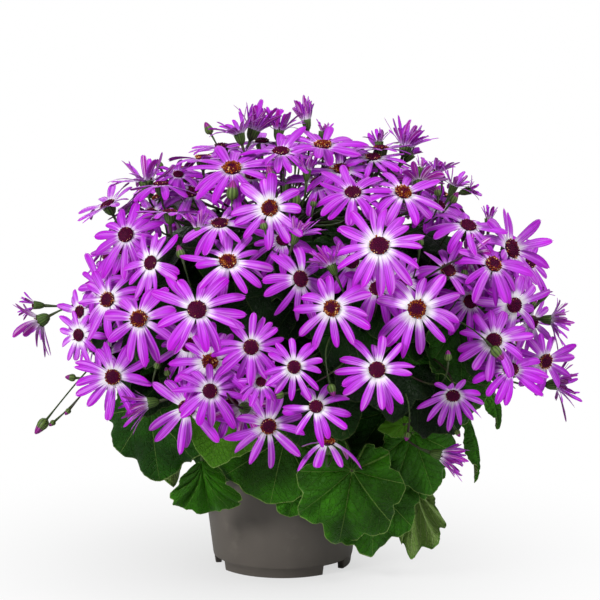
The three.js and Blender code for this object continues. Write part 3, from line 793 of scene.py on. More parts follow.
def bract_material():
    """Green cup with pale ribs and dark tips."""
    paint = Paint("bracts", 0.5, 0.3)
    across, along, _, _ = paint.place()
    rib = paint.ribs(across, 13)
    green = paint.mix(rib, (34, 60, 20), (92, 122, 52))
    green = paint.mix(paint.smooth(along, 0.7, 1.0), green, (70, 50, 60))
    mottled = paint.tint(green, paint.noise(paint.own(), 420.0), 0.35, (30, 54, 18))
    return paint.finish(mottled, rib, 0.4, 0.4)


def stem_material():
    """Fleshy green stem, purple-brown where it is old or bends, with fine ridges."""
    paint = Paint("stem", 0.5, 0.35)
    rib = paint.ribs(paint.place()[0], 5)
    flush = paint.smooth(paint.noise(paint.own(), 38.0), 0.42, 0.66)
    green = paint.mix(rib, (30, 44, 18), (64, 88, 34))
    return paint.finish(paint.mix(flush, green, (52, 26, 34)), rib, 0.3, 0.3)


def bud_material():
    """Ribbed green bud whose folded petals show purple at the tip."""
    paint = Paint("bud", 0.45, 0.3)
    across, along, _, _ = paint.place()
    rib = paint.ribs(across, 8)
    green = paint.mix(rib, (40, 64, 24), (104, 130, 60))
    purple = paint.mix(rib, (88, 8, 70), (166, 40, 156))
    tip = paint.smooth(paint.line(rib, 0.08, along), 0.62, 0.74)
    return paint.finish(paint.mix(tip, green, purple), rib, 0.5, 0.5)


def leaf_material():
    """Deep green blade, lighter between its sunken pale veins, with a thin pale margin and a
    grey-green underside whose veins stand proud. A tone below 0 darkens the leaf towards near-black
    green, as painted shade for leaves under the flowers."""
    paint = Paint("leaf", 0.5, 0.15)
    out, _, side, _ = paint.place()
    blade = paint.attribute("blade")["Vector"]
    veins = use_group(paint, "palmate_veins", Blade=blade)
    main, branch, net = veins["Main"], veins["Side"], veins["Net"]
    tone = paint.tone()
    patches = paint.smooth(paint.noise(paint.own(), 26.0, 3.0), 0.3, 0.72)
    green = paint.mix(patches, (17, 59, 0), (50, 122, 4))
    green = paint.mix(paint.math("MAXIMUM", tone, 0.0), green, (84, 142, 20))
    green = paint.tint(green, net, 0.16, (66, 112, 30))
    green = paint.tint(green, branch, 0.24, (84, 126, 46))
    green = paint.tint(green, main, 0.58, (140, 178, 88))
    green = paint.tint(green, paint.smooth(out, 0.98, 0.992), 0.7, (150, 182, 96))
    pale = paint.tint((118, 150, 72), paint.math("MAXIMUM", main, branch), 0.6, (190, 210, 148))
    skin = paint.mix(paint.smooth(side, *TURN_OVER), pale, green)
    # Painted shade: a tone below 0 darkens the whole leaf towards near-black green, standing in for
    # the shade under the flowers.
    shade = paint.math("MAXIMUM", paint.times(tone, -1.0), 0.0)
    relief = paint.line(main, -0.3, paint.times(branch, -0.7))
    relief = paint.line(net, -0.35, relief)
    relief = paint.line(paint.noise(paint.own(), 260.0), 0.5, relief)
    return paint.finish(paint.mix(shade, skin, (8, 20, 8)), relief, 0.85, 1.6)


def pot_material():
    """Taupe moulded plastic: a soft satin skin with faint upright flow lines and dusty scuffs."""
    paint = Paint("pot_plastic", 0.5, 0.4)
    own = paint.own()
    grain = paint.noise(own, 900.0, 3.0)
    upright = paint.node("ShaderNodeMapping")
    paint.put(upright.inputs["Vector"], own)
    upright.inputs["Scale"].default_value = (60.0, 60.0, 3.0)
    flow = paint.noise(upright.outputs["Vector"], 1.0, 2.0)
    scuff = paint.smooth(paint.noise(own, 45.0, 4.0, 0.65), 0.58, 0.75)
    body = paint.mix(flow, (92, 86, 80), (101, 95, 88))
    paint.put(paint.shader["Roughness"], paint.line(scuff, 0.2, 0.44))
    relief = paint.line(flow, 0.5, grain)
    return paint.finish(paint.tint(body, scuff, 0.3, (130, 123, 114)), relief, 0.12, 0.15)


def soil_material():
    """Dark moist compost with paler fibres and a few bright grains."""
    paint = Paint("compost", 0.9, 0.2)
    own = paint.own()
    crumbs = paint.noise(own, 210.0, 5.0, 0.7)
    body = paint.mix(paint.smooth(crumbs, 0.35, 0.7), (24, 16, 12), (74, 54, 40))
    grains = paint.smooth(paint.noise(own, 640.0, 1.0), 0.7, 0.76)
    return paint.finish(paint.mix(grains, body, (150, 132, 108)), crumbs, 1.0, 2.0)


make_fibre_group()
make_vein_group()
HEAD_MATERIALS = [petal_material(), floret_material(), bract_material()]
PETAL_FINISH, DISC_FINISH, CUP_FINISH = 0, 1, 2  # places in the list above
STEM, BUD, LEAF = stem_material(), bud_material(), leaf_material()
STEM_FINISH, BUD_FINISH = 0, 1  # in a shoot
BLADE_FINISH, LEAF_STALK_FINISH = 0, 1  # in a leaf
POT, SOIL = pot_material(), soil_material()


# ---------------------------------------------------------------- flower heads

# Rows of a petal's grid, as shares of its length, and its columns.
FINE_PETAL = np.array([0, 0.1, 0.25, 0.42, 0.58, 0.73, 0.86, 0.95, 1.0]), 5
COARSE_PETAL = np.array([0, 0.2, 0.45, 0.7, 0.9, 1.0]), 4
PETAL_THICKNESS = 0.35
# In head radii: where petals begin, half the width of one, less with each petal more, how far
# its tip hangs, and the radius of the disc.
PETAL_FOOT, HALF_WIDTH, NARROWING, SAG, DISC = 0.16, 0.162, 0.0036, 0.11, 0.206
# In petal lengths: where it is widest, where it begins to close, and the depth of its tip's notch.
WIDEST, CLOSING, TIP_NOTCH = 0.74, 0.58, 0.03
GROOVE = 0.08  # depth of a petal's two grooves, in half widths
DISC_HEIGHT = 0.34  # in disc radii
FINE_FLORETS, COARSE_FLORETS, YOUNG_FLORETS = 76, 34, 24


def petal_ring(rng, count, radius, lift, rows, columns, bend=-16.0, spread=1.0, wild=1.0):
    """Petals as sheets of shape (count, rows, columns, 3) in the head's own frame.

    Each midline leaves the disc at the lift angle and turns by bend along its length. Half its
    width grows like a sine to three quarters, then closes as a superellipse that is blunter on
    some petals than on others. Across, it is gently arched with two grooves, and each petal has
    its own length, turn, twist and sideways sweep."""
    s = rows[None, :, None]
    t = np.linspace(-1, 1, columns)[None, None, :]

    def vary(amount):
        return wild * rng.normal(0, amount, (count, 1, 1))

    foot = PETAL_FOOT * radius
    length = (radius - foot) * (1 + vary(0.1))
    angle = 2 * np.pi * (np.arange(count)[:, None, None] / count + vary(0.22 / count))
    start = np.radians(lift + vary(8.0))
    elevation = start + np.radians(bend + vary(16.0)) * s
    pace = np.diff(s, axis=1)
    middle = (elevation[:, 1:] + elevation[:, :-1]) / 2
    zero = np.zeros((count, 1, 1))
    out = foot + length * np.concatenate([zero, np.cumsum(pace * np.cos(middle), axis=1)], axis=1)
    rise = length * np.concatenate([zero, np.cumsum(pace * np.sin(middle), axis=1)], axis=1)

    half = radius * (HALF_WIDTH - NARROWING * count) * spread * (1 + vary(0.11))
    grow = 0.52 + 0.48 * np.sin(np.clip(s / WIDEST, 0, 1) * np.pi / 2)
    blunt = np.clip(2.6 + vary(0.9), 1.5, 5)
    closed = np.clip((s - CLOSING) / (1 - CLOSING), 0, 1) ** blunt
    close = np.sqrt(np.clip(1 - closed, 0.05, 1))
    wide = half * grow * close
    curl = -0.1 + vary(0.16)
    ripple = GROOVE * np.cos(2 * np.pi * t)
    arch = wide * (curl * t * t + ripple * (1 - 0.6 * s))
    twist = np.radians(vary(17.0)) * s
    sweep = vary(0.08) * length * s * s
    notch = TIP_NOTCH * length * (np.cos(2.5 * np.pi * t) - 1) * s**10

    beside = wide * t * np.cos(twist) - arch * np.sin(twist) + sweep
    above = arch * np.cos(twist) + wide * t * np.sin(twist)
    out = out + notch * np.cos(elevation) - above * np.sin(elevation)
    rise = rise + notch * np.sin(elevation) + above * np.cos(elevation)
    x = out * np.cos(angle) - beside * np.sin(angle)
    y = out * np.sin(angle) + beside * np.cos(angle)
    return np.stack([x, y, rise], axis=-1)


def add_petals(piece, rng, axes, centre, count, radius, lift, fine, tone, **shape):
    """A ring of petals round the disc, each with its own tone, whose tips hang by their weight."""
    rows, columns = FINE_PETAL if fine else COARSE_PETAL
    sheets = petal_ring(rng, count, radius, lift, rows, columns, **shape)
    points, faces = thin_shell(sheets, PETAL_THICKNESS)
    along, across = np.meshgrid(rows, np.linspace(0, 1, columns), indexing="ij")
    places = np.tile(shell_places(across, along), (count, 1))
    tones = np.repeat(tone + rng.uniform(-0.15, 0.15, count), points.shape[1])
    sag = np.repeat(SAG * radius * rng.uniform(0.4, 1.6, count), points.shape[1])
    points = points.reshape(-1, 3) @ axes + centre
    points[:, 2] -= sag * places[:, 1] ** 2
    piece.add(points, [faces], places, tones, PETAL_FINISH)


def add_disc(piece, rng, axes, centre, radius, age, florets):
    """A low dome with florets on a golden-angle spiral, each a small five-sided bud. The older
    the disc, the more of its florets have opened orange, from the rim inwards. A few florets
    near the rim carry pale pollen."""
    disc = DISC * radius
    height = DISC_HEIGHT * disc
    profile = [(0, -1.2), (0.9 * disc, -1.2)]
    profile += [(disc * np.cos(a), height * np.sin(a)) for a in np.linspace(0, np.pi / 2, 5)]
    points, faces, places = turned(profile, 14)
    piece.add(points @ axes + centre, faces, places, 0.12, DISC_FINISH)

    order = (np.arange(florets) + 0.5) / florets
    away = disc * np.sqrt(order) * 0.97
    turn = np.arange(florets) * GOLDEN_ANGLE
    top = height * np.sqrt(np.clip(1 - (away / disc) ** 2, 0, 1))
    base = np.stack([away * np.cos(turn), away * np.sin(turn), top], axis=-1)
    lean = base / np.array([disc, disc, height * 1.2]) / np.array([1, 1, 0.55])
    axis = unit(lean + np.array([0, 0, 0.25]))
    opened = np.clip((order - 1.1 + 1.25 * age) * 4, 0, 1)
    dusted = (order > 0.66) & (rng.random(florets) < 0.4)
    size = disc / math.sqrt(florets) * rng.uniform(0.72, 0.98, florets) * np.where(dusted, 0.6, 1.0)
    tall = size * (1.0 + 0.9 * opened) * rng.uniform(0.8, 1.25, florets)
    helper = unit(np.cross(axis, np.array([0.3, 0.1, 1.0])))
    other = np.cross(axis, helper)
    corner = around(5)[:, None]
    ring = helper[:, None] * np.cos(corner) + other[:, None] * np.sin(corner)
    ring = ring * size[:, None, None]
    low = base[:, None] + ring * 0.7 - axis[:, None] * 0.4
    wide = base[:, None] + ring * (0.8 + 0.25 * opened[:, None, None])
    wide = wide + axis[:, None] * tall[:, None, None] * 0.62
    tip = (base + axis * tall[:, None])[:, None]
    points = np.concatenate([low, wide, tip], axis=1)
    i = np.arange(5)
    j = np.roll(i, -1)
    sides = np.stack([i, j, j + 5, i + 5], axis=-1)
    caps = np.stack([i + 5, j + 5, np.full(5, 10)], axis=-1)
    floor = np.array([[0, 2, 1], [0, 3, 2], [0, 4, 3]])
    step = points.shape[1] * np.arange(florets)[:, None, None]
    groups = [(group[None] + step).reshape(-1, group.shape[1]) for group in (sides, caps, floor)]
    tones = 0.2 + 0.1 * order + 0.42 * opened + rng.normal(0, 0.08 + 0.1 * opened, florets)
    tones = np.repeat(np.clip(np.where(dusted, 1.0, tones), 0, 1), points.shape[1])
    piece.add(points.reshape(-1, 3) @ axes + centre, groups, 0.0, tones, DISC_FINISH)


def ribbed(profile, sides, depth):
    """A turned skin whose spokes stand out and in by turns."""
    return turned(profile, sides, depth * np.cos(np.arange(sides) * np.pi))


def add_cup(piece, axes, centre, radius, depth=CUP_DEPTH, bracts=13):
    """A ribbed cup of joined bracts, rounded below and ending in a ring of points."""
    rim = DISC * radius * CUP_RADIUS
    out = [0, 0.26, 0.6, 0.88, 1.0, 1.08, 0.7, 0]
    up = [-1, -1, -0.84, -0.55, -0.2, 0.04, -0.08, -0.3]
    profile = [(share * rim, rise * depth) for share, rise in zip(out, up)]
    points, faces, places = ribbed(profile, 2 * bracts, 0.05)
    piece.add(points @ axes + centre, faces, places, 0.5, CUP_FINISH)


def add_head(piece, rng, centre, facing, radius, petals, age, lift, fine=True):
    """An open head: petals, disc florets and cup."""
    axes = axes_facing(facing, rng.uniform(0, 2 * np.pi))
    # The tone varies at random, and is raised on heads that face upwards: that part is painted shade,
    # deepening the tops of the dome.
    tone = rng.uniform(0.1, 0.8) + 0.35 * max(0.0, facing[2])
    florets = FINE_FLORETS if fine else COARSE_FLORETS
    add_petals(piece, rng, axes, centre, petals, radius, lift, fine, tone)
    add_disc(piece, rng, axes, centre + 0.8 * facing, radius, age, florets)
    add_cup(piece, axes, centre, radius)


def make_head(name, *shape):
    piece = Piece()
    add_head(piece, seeded(name, HEAD_FACTOR), *shape)
    return piece.make(name, HEAD_MATERIALS, "petal")


def make_sectors(label, pieces, materials, slot):
    """One object for each piece of a gathered group, numbered from 1."""
    for number, piece in enumerate(pieces):
        piece.make(f"{label}_{number + 1:02d}", materials, slot)


def sector_of(pieces, bearing):
    """The piece that gathers what stands at a bearing."""
    return pieces[int(bearing % 360 / 360 * len(pieces))]


def make_half_open(name, centre, facing, length, petals, lean):
    """A head whose narrow petals still stand up round its axis, in two rings."""
    rng = seeded(name, HALF_OPEN_FACTOR)
    axes = axes_facing(facing, rng.uniform(0, 2 * np.pi))
    radius = length * 1.14
    piece = Piece()
    tone = rng.uniform(0.55, 1.0)
    inner = max(4, petals * 2 // 3)
    for count, size, splay in ((petals, radius, lean), (inner, 0.88 * radius, 0.6 * lean)):
        loose = {"bend": -10.0, "spread": 0.66, "wild": 1.3}
        add_petals(piece, rng, axes, centre, count, size, 90 - splay, False, tone, **loose)
    add_disc(piece, rng, axes, centre + 0.5 * facing, radius * 0.8, 0.0, YOUNG_FLORETS)
    add_cup(piece, axes, centre, max(16.0, radius * 0.9))
    return piece.make(name, HEAD_MATERIALS, "petal")


heads = []  # centre and facing of all that a stalk carries


def place_show_heads():
    """The heads of the show side, one object each, and the half-hidden ones in a few objects."""
    for number, row in enumerate(SOLID_HEADS + MORE_HEADS):
        column, line, reach, yaw, tilt, *shape = row
        centre = dome_point(column, line, reach)
        facing = facing_from(centre, yaw, tilt)
        solid = number < len(SOLID_HEADS)
        label = number + 1 if solid else number + 1 + len(SOLID_BACK_HEADS)
        name = f"flower_head_{label:02d}"
        piece = make_head(name, centre, facing, *shape)
        if solid:
            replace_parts(piece, name)
        heads.append((centre, facing))
    rng = np.random.default_rng(UNDER_SEED)
    under = [Piece() for _ in range(UNDER_SECTORS)]
    for column, line, reach, yaw, tilt, radius in UNDER_HEADS:
        centre = dome_point(column, line, reach)
        facing = facing_from(centre, yaw, tilt)
        petals, age = int(rng.integers(12, 15)), rng.uniform(0, 0.3)
        piece = under[column * UNDER_SECTORS // GRID]
        add_head(piece, rng, centre, facing, radius, petals, age, 2, False)
        heads.append((centre, facing))
    make_sectors("under_heads", under, HEAD_MATERIALS, "petal")


def place_back_heads():
    """The solid back heads, then a golden-angle lattice over the rest of the dome's far side.
    A lattice point makes no head on the show side, in the bare spot or too near another head."""
    for number, (azimuth, rise, radius, petals) in enumerate(SOLID_BACK_HEADS):
        facing = outward(azimuth, rise)
        centre = facing * np.array([DOME_WIDTH, DOME_DEPTH, DOME_RISE]) + DOME_CENTRE
        name = f"flower_head_{len(SOLID_HEADS) + number + 1:02d}"
        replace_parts(make_head(name, centre, facing, radius, petals, 0.1 + 0.2 * number, 4), name)
        heads.append((centre, facing))
    taken = [centre for centre, _ in heads]
    rng = np.random.default_rng(BACK_SEED)
    far = [Piece() for _ in range(BACK_SECTORS)]
    for number in range(LATTICE_POINTS):
        height = LATTICE_LOW + (1 - LATTICE_LOW) * (number + 0.5) / LATTICE_POINTS
        ring = math.sqrt(max(0.0, 1 - height * height))
        angle = number * GOLDEN_ANGLE
        normal = np.array([ring * math.cos(angle), ring * math.sin(angle), height])
        reach = rng.uniform(0.92, 1.0)
        tip, turn = rng.uniform(8, 30), rng.uniform(-16, 16)
        radius, petals, age = rng.uniform(24, 28), rng.integers(11, 15), rng.uniform(0, 1)
        rise = BACK_RISE if height > 0 else DOME_FALL
        centre = DOME_CENTRE + reach * normal * np.array([BACK_WIDTH, DOME_DEPTH, rise])
        if centre[1] < LIMB_DEPTH and abs(normal[0]) > 0.8:
            centre = DOME_CENTRE + LIMB_REACH * (centre - DOME_CENTRE)
        near = min(np.linalg.norm(centre - other) for other in taken)
        shown = centre[1] < -64 or (height < -0.12 and abs(normal[0]) > 0.7)
        bare = math.hypot(centre[0] - BARE_SPOT[0], centre[2] - BARE_SPOT[1]) < BARE_RADIUS
        if shown or bare or near < (BACK_SPACING if centre[1] > -4 else SIDE_SPACING):
            continue
        bearing = math.degrees(math.atan2(normal[1], normal[0])) + turn
        facing = outward(bearing, min(88, math.degrees(math.asin(height)) * 0.8 + tip))
        shape = (radius, int(petals), age, rng.uniform(-6, 8), False)
        add_head(sector_of(far, 2 * bearing), rng, centre, facing, *shape)
        heads.append((centre, facing))
        taken.append(centre)
    make_sectors("back_heads", far, HEAD_MATERIALS, "petal")


def place_half_open_heads():
    """The half-open heads of the show side, each aimed at the tips of its petals."""
    for number, (*squares, petals, lean) in enumerate(HALF_OPEN_HEADS):
        centre, facing, length = aimed(*squares)
        name = f"half_open_head_{number + 1:02d}"
        piece = make_half_open(name, centre, facing, length, petals, lean)
        if number < SOLID_HALF_OPEN_HEADS:
            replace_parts(piece, name)
        heads.append((centre, facing))


# ---------------------------------------------------------------- shoots and buds


def add_bud(piece, base, facing, length):
    """A spindle: a green ribbed cup that closes over a tuft of folded petals."""
    wide = 0.23 * length + 0.8
    out = [0, 0.35, 0.8, 1.0, 0.98, 0.82, 0.7, 0.5, 0.22, 0]
    up = [0, 0.01, 0.1, 0.25, 0.42, 0.56, 0.68, 0.84, 0.97, 1.0]
    profile = [(share * wide, rise * length) for share, rise in zip(out, up)]
    points, faces, places = ribbed(profile, 16, 0.06)
    places[:, 1] = points[:, 2] / length
    piece.add(points @ axes_facing(facing) + base, faces, places, 0.5, BUD_FINISH)


def fork_points(azimuth, radius, height):
    """The trunk from the crown to its fork, as the four points of a cubic curve."""
    soil = SOIL_TOP + SOIL_MOUND * (1 - ROOT_RADIUS / wall(SOIL_TOP))
    root = polar(azimuth, ROOT_RADIUS, soil + 0.3)
    end = polar(azimuth, radius, height)
    rise = end[2] - root[2]
    bend = root + UP * 0.55 * rise
    shoulder = root + 0.6 * (end - root) + UP * 0.15 * rise
    return root, bend, shoulder, end


def make_shoots():
    """Each trunk with a stalk to every head and bud that is nearer to its fork than to others."""
    loads = [(centre - facing * CUP_DEPTH, facing, None) for centre, facing in heads]
    loads += [aimed(*bud) for bud in BUDS]
    trunks = {name: fork_points(*fork) for name, fork in FORKS.items()}
    ends = np.array([trunk[3] for trunk in trunks.values()])
    for number, (name, (root, bend, shoulder, end)) in enumerate(trunks.items()):
        piece = Piece()
        path = bezier(root, bend, shoulder, end, TRUNK_STEPS)
        radii = TRUNK_RADIUS * np.linspace(1.05, 0.72, TRUNK_STEPS)
        piece.add(*tube(path, radii, 10), 0.3, STEM_FINISH)
        start = path[-2]
        heading = unit(end - shoulder)
        for foot, facing, bud in loads:
            if np.argmin(np.linalg.norm(ends - foot, axis=1)) != number:
                continue
            pull = 0.38 * np.linalg.norm(foot - start)
            last = foot + 0.3 * facing
            stalk = bezier(start, start + heading * pull, foot - facing * pull, last, STALK_STEPS)
            along = np.linspace(0, 1, STALK_STEPS)
            radii = STALK_RADIUS * np.interp(along, [0, 0.2, 0.93, 1], [1.7, 1.15, 0.85, 1.5])
            if bud:
                radii = radii * 0.75
                add_bud(piece, foot, facing, bud)
            piece.add(*tube(stalk, radii, 6), 0.5, STEM_FINISH)
        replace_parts(piece.make(name, [STEM, BUD], "stem"), name)


# ---------------------------------------------------------------- leaves

LEAF_THICKNESS = 0.7
LEAF_ARCH = 0.16
FINE_BLADE, COARSE_BLADE = (20, 162), (7, 63)  # rings and spokes of a blade's grid
LEAF_STALK_ROOT = 38.0  # where a leaf's stalk leaves the compost, from the pot's axis


def leaf_outline(angle, phase, depth, drawn):
    """Distance from the heart to the margin, in blade lengths: a broad heart with a deep notch
    at the stalk, rounded lobes over the main veins with sharp bays of the given depth between
    them, small teeth, a slow uneven swell of its own, and a short point at the tip where the
    bays are shallow. Lobes and teeth are lower on a blade that is drawn in."""
    notch = 1 - 0.85 * np.exp(-(((np.pi - np.abs(angle)) / 0.36) ** 2))
    heart = 0.66 + 0.27 * np.cos(angle) + 0.07 * np.cos(2 * angle)
    lobes = depth * (np.sqrt(np.cos(LOBES / 2 * angle) ** 2 + 0.01) - 0.66)
    point = max(0.0, 0.15 - depth) * 1.4 * np.exp(-((angle / 0.2) ** 2))
    teeth = 0.03 * (0.5 - np.abs(np.sin(1.5 * LOBES * angle + 0.5 * np.sin(angle + phase[0]))))
    swell = 0.035 * np.cos(2 * angle + phase[1]) + 0.03 * np.cos(5 * angle + phase[2])
    return heart * notch * (1 + (lobes + teeth + point) * (1 - 0.5 * drawn) + swell)


def blade_relief(ring, angle, out, phase, width):
    """Height of a blade's surface, without its arch and fold, and the wave of its edge: it bulges
    between the main veins and again between their side veins."""
    off = angle - LOBE_ANGLE * np.round(angle / LOBE_ANGLE)
    beside = np.abs(out * np.sin(off))
    slant = out * np.cos(off) - SIDE_VEIN_SLANT * beside
    pads = np.abs(np.sin(np.pi * slant / SIDE_VEIN_STEP)) ** 0.7
    pads = pads * (1 - np.exp(-((beside / 0.03) ** 2)))
    bulge = 0.045 * np.abs(np.sin(LOBES / 2 * angle)) * np.sin(np.pi * np.clip(ring, 0, 1)) ** 0.8
    bulge = bulge + 0.02 * pads * np.clip(out / 0.25, 0, 1)
    wave = 0.075 * ring**3 * np.cos(9 * angle + 0.6 * phase[3])
    wave = wave + 0.06 * ring**2 * np.cos(3 * angle + phase[4])
    wave = wave + 0.03 * ring**5 * np.cos(16 * angle + phase[5])
    return bulge, wave * min(1.0, 0.35 + width)


def two_skins(upper, lower, poles):
    """Rows from the heart out over the upper skin and back under the lower one, and the poles."""
    return np.concatenate([upper.reshape(-1, 3), lower[-2::-1].reshape(-1, 3), poles])


def add_leaf(piece, rng, heart, tip, width, yaw, lift, root, fold, lobes, tone, fine, pinch):
    """A blade on its stalk. In the blade's polar grid the rim takes the outline, drawn in beside
    the heart where it is pinched. The surface arches back to the margin, folds up along the
    midrib, bulges between the veins and waves along its edge."""
    rings, spokes = FINE_BLADE if fine else COARSE_BLADE
    drawn, half_seen = pinch
    along = tip - heart
    length = np.linalg.norm(along)
    along = along / length
    across = unit(np.cross(outward(yaw - 90, lift), along))
    axes = np.stack([along, across, np.cross(along, across)])

    ring = (np.linspace(0, 1, rings + 1)[1:] ** 0.9)[:, None]
    angle = (around(spokes) - np.pi)[None]
    phase = rng.uniform(0, 2 * np.pi, 6)
    rim = leaf_outline(angle, phase, lobes, drawn)
    out = ring * rim * (1 + 0.35 * drawn * (1 - np.cos(angle)))
    bulge, wave = blade_relief(ring, angle, out, phase, width)
    lifted = -LEAF_ARCH * out**2 + bulge + wave * rim + fold * out * np.abs(np.sin(angle))
    fan = angle * (1 - 0.5 * drawn)
    x = out * np.cos(fan)
    drawn_in = 1 - drawn * np.clip(1 - 1.2 * x, 0, 1)
    y = width * out * np.sin(fan) * drawn_in * np.where(angle > 0, half_seen, 1.0)
    sheet = length * np.stack([x, y, lifted], axis=-1)

    slope_round = (np.roll(sheet, -1, axis=1) - np.roll(sheet, 1, axis=1)) / 2
    normal = unit(np.cross(np.gradient(sheet, axis=0), slope_round))
    half = 0.5 * LEAF_THICKNESS * np.ones((rings, 1, 1))
    half[-1] = 0
    poles = [[0, 0, 0.5 * LEAF_THICKNESS], [0, 0, -0.5 * LEAF_THICKNESS]]
    points = two_skins(sheet + normal * half, sheet - normal * half, poles)
    flat = np.stack([out * np.cos(angle), width * out * np.sin(angle), 0 * out], axis=-1)
    blade = two_skins(flat, flat, np.zeros((2, 3)))
    side = np.ones((rings, spokes))
    side[-1] = RIM_SIDE
    turn = angle / (2 * np.pi) + 0.5 + 0 * ring
    upper, lower = (np.stack([ring + 0 * angle, turn, skin], axis=-1) for skin in (side, 0 * side))
    places = two_skins(upper, lower, [[0, 0, 1], [0, 0, 0]])
    faces = capped_rings(2 * rings - 1, spokes, True)
    piece.add(points @ axes + heart, faces, places, tone, BLADE_FINISH, blade)

    start = polar(root, LEAF_STALK_ROOT, SOIL_TOP + 1.0)
    stalk = bezier(start, start + UP * 42, heart - along * 25, heart + along, STALK_STEPS)
    piece.add(*tube(stalk, np.linspace(2.2, 1.4, STALK_STEPS), 8), 0.5, LEAF_STALK_FINISH)


def make_leaf(name, heart, tip, *shape):
    piece = Piece()
    add_leaf(piece, seeded(name, LEAF_FACTOR), heart, tip, *shape, True, PINCHED.get(name, UNPINCHED))
    return piece.make(name, [LEAF, STEM], "leaf")


def place_leaves():
    """The leaves in view, placed by sight lines, and the solid ones of the far side."""
    for name, (heart, tip, depth, *shape) in {**SOLID_LEAVES, **MORE_LEAVES}.items():
        tone = BRIGHT if "bright" in name else SHADED.get(name, PLAIN)
        heart, tip = square_at(*heart, depth[0]), square_at(*tip, depth[1])
        piece = make_leaf(name, heart, tip, *shape, tone)
        if name in SOLID_LEAVES:
            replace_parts(piece, name)
    for name, (heart, tip, *shape) in SOLID_BACK_LEAVES.items():
        heart, tip = np.array(heart, dtype=float), np.array(tip, dtype=float)
        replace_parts(make_leaf(name, heart, tip, *shape, PLAIN), name)


def place_inner_leaves():
    """Leaves under the flowers on a golden-angle lattice, tips outwards and down, and a ring of
    smaller ones round the crown that hides the compost. Each sector's leaves are one object."""
    rng = np.random.default_rng(INNER_SEED)
    inner = [Piece() for _ in range(INNER_SECTORS)]
    crown = [Piece() for _ in range(CROWN_SECTORS)]

    def add_coarse(pieces, bearing, heart, tip, width, lift, tone):
        shape = (width, bearing + 90, lift, bearing, 0.05, 0.14, tone, False, UNPINCHED)
        add_leaf(sector_of(pieces, bearing), rng, heart, tip, *shape)

    for number in range(INNER_LEAVES):
        height = INNER_LOW + INNER_SPAN * (number + 0.5) / INNER_LEAVES
        ring = math.sqrt(1 - height * height)
        bearing = math.degrees(number * GOLDEN_ANGLE + 0.6)
        reach = INNER_REACH * rng.uniform(0.86, 1.06)
        away = polar(bearing, ring, height) * np.array([DOME_WIDTH, DOME_DEPTH, DOME_RISE])
        heart = DOME_CENTRE + reach * away
        fall = outward(bearing + rng.uniform(-35, 35), rng.uniform(-60, -10) + 20 * height)
        tip = heart + fall * rng.uniform(42, 56)
        lift = math.degrees(math.asin(height)) * 0.8 + 15
        width = rng.uniform(0.9, 1.25)
        # Inner leaves get a strongly negative tone: painted shade that darkens them nearly black.
        add_coarse(inner, bearing, heart, tip, width, lift, -rng.uniform(0.7, 0.92))
    for number in range(CROWN_LEAVES):
        bearing = math.degrees(number * GOLDEN_ANGLE * 1.02)
        heart = polar(bearing, rng.uniform(44, 66), rng.uniform(118, 150))
        fall = outward(bearing + rng.uniform(-30, 30), rng.uniform(-35, 15))
        tip = heart + fall * rng.uniform(42, 52)
        width = rng.uniform(0.95, 1.2)
        # Crown leaves get a negative tone too: painted shade, less deep than the inner leaves'.
        add_coarse(crown, bearing, heart, tip, width, 45, -rng.uniform(0.3, 0.7))
    make_sectors("inner_leaves", inner, [LEAF, STEM], "leaf")
    make_sectors("crown_leaves", crown, [LEAF, STEM], "leaf")


# ---------------------------------------------------------------- pot and soil


def pot_profile():
    """Radius and height from the middle of the underside, out over the foot ring, up the wall,
    round the rim and down the inside, with each edge rounded."""
    rim_low, floor_top = POT_HEIGHT - RIM_DEPTH, GUTTER_HEIGHT + WALL
    ledge, collar, brim = wall(LEDGE_HEIGHT), wall(rim_low), wall(POT_HEIGHT)
    foot = [
        (PAD_RADIUS - 1, 0), (PAD_RADIUS, 0.3),
        (GUTTER_INNER - 0.5, GUTTER_HEIGHT - 0.4), (GUTTER_INNER + 0.5, GUTTER_HEIGHT),
        (GUTTER_OUTER - 0.3, GUTTER_HEIGHT), (GUTTER_OUTER, 0.4), (GUTTER_OUTER + 0.4, 0),
        (FOOT_RADIUS - 0.9, 0), (FOOT_RADIUS - 0.25, 0.25), (FOOT_RADIUS, 0.9),
        (ledge, LEDGE_HEIGHT - 0.25), (ledge + 0.35, LEDGE_HEIGHT),
        (ledge + LEDGE_STEP, LEDGE_HEIGHT + 0.5),
    ]
    side = [(wall(h) + LEDGE_STEP, h) for h in np.linspace(LEDGE_HEIGHT + 2, rim_low - 1.2, 14)]
    rim = [
        (collar + LEDGE_STEP + 0.3, rim_low - 0.3), (collar + RIM_PROUD - 0.5, rim_low),
        (collar + RIM_PROUD, rim_low + 0.6), (brim + RIM_PROUD, POT_HEIGHT - 0.9),
        (brim + RIM_PROUD - 0.7, POT_HEIGHT), (brim - WALL + 0.6, POT_HEIGHT),
        (brim - WALL, POT_HEIGHT - 0.6), (wall(SOIL_TOP) - WALL, SOIL_TOP),
        (wall(floor_top) - WALL, floor_top), (GUTTER_INNER - WALL, floor_top),
        (PAD_RADIUS - WALL, WALL),
    ]
    return np.array([(0, 0)] + foot + side + rim + [(0, WALL)])


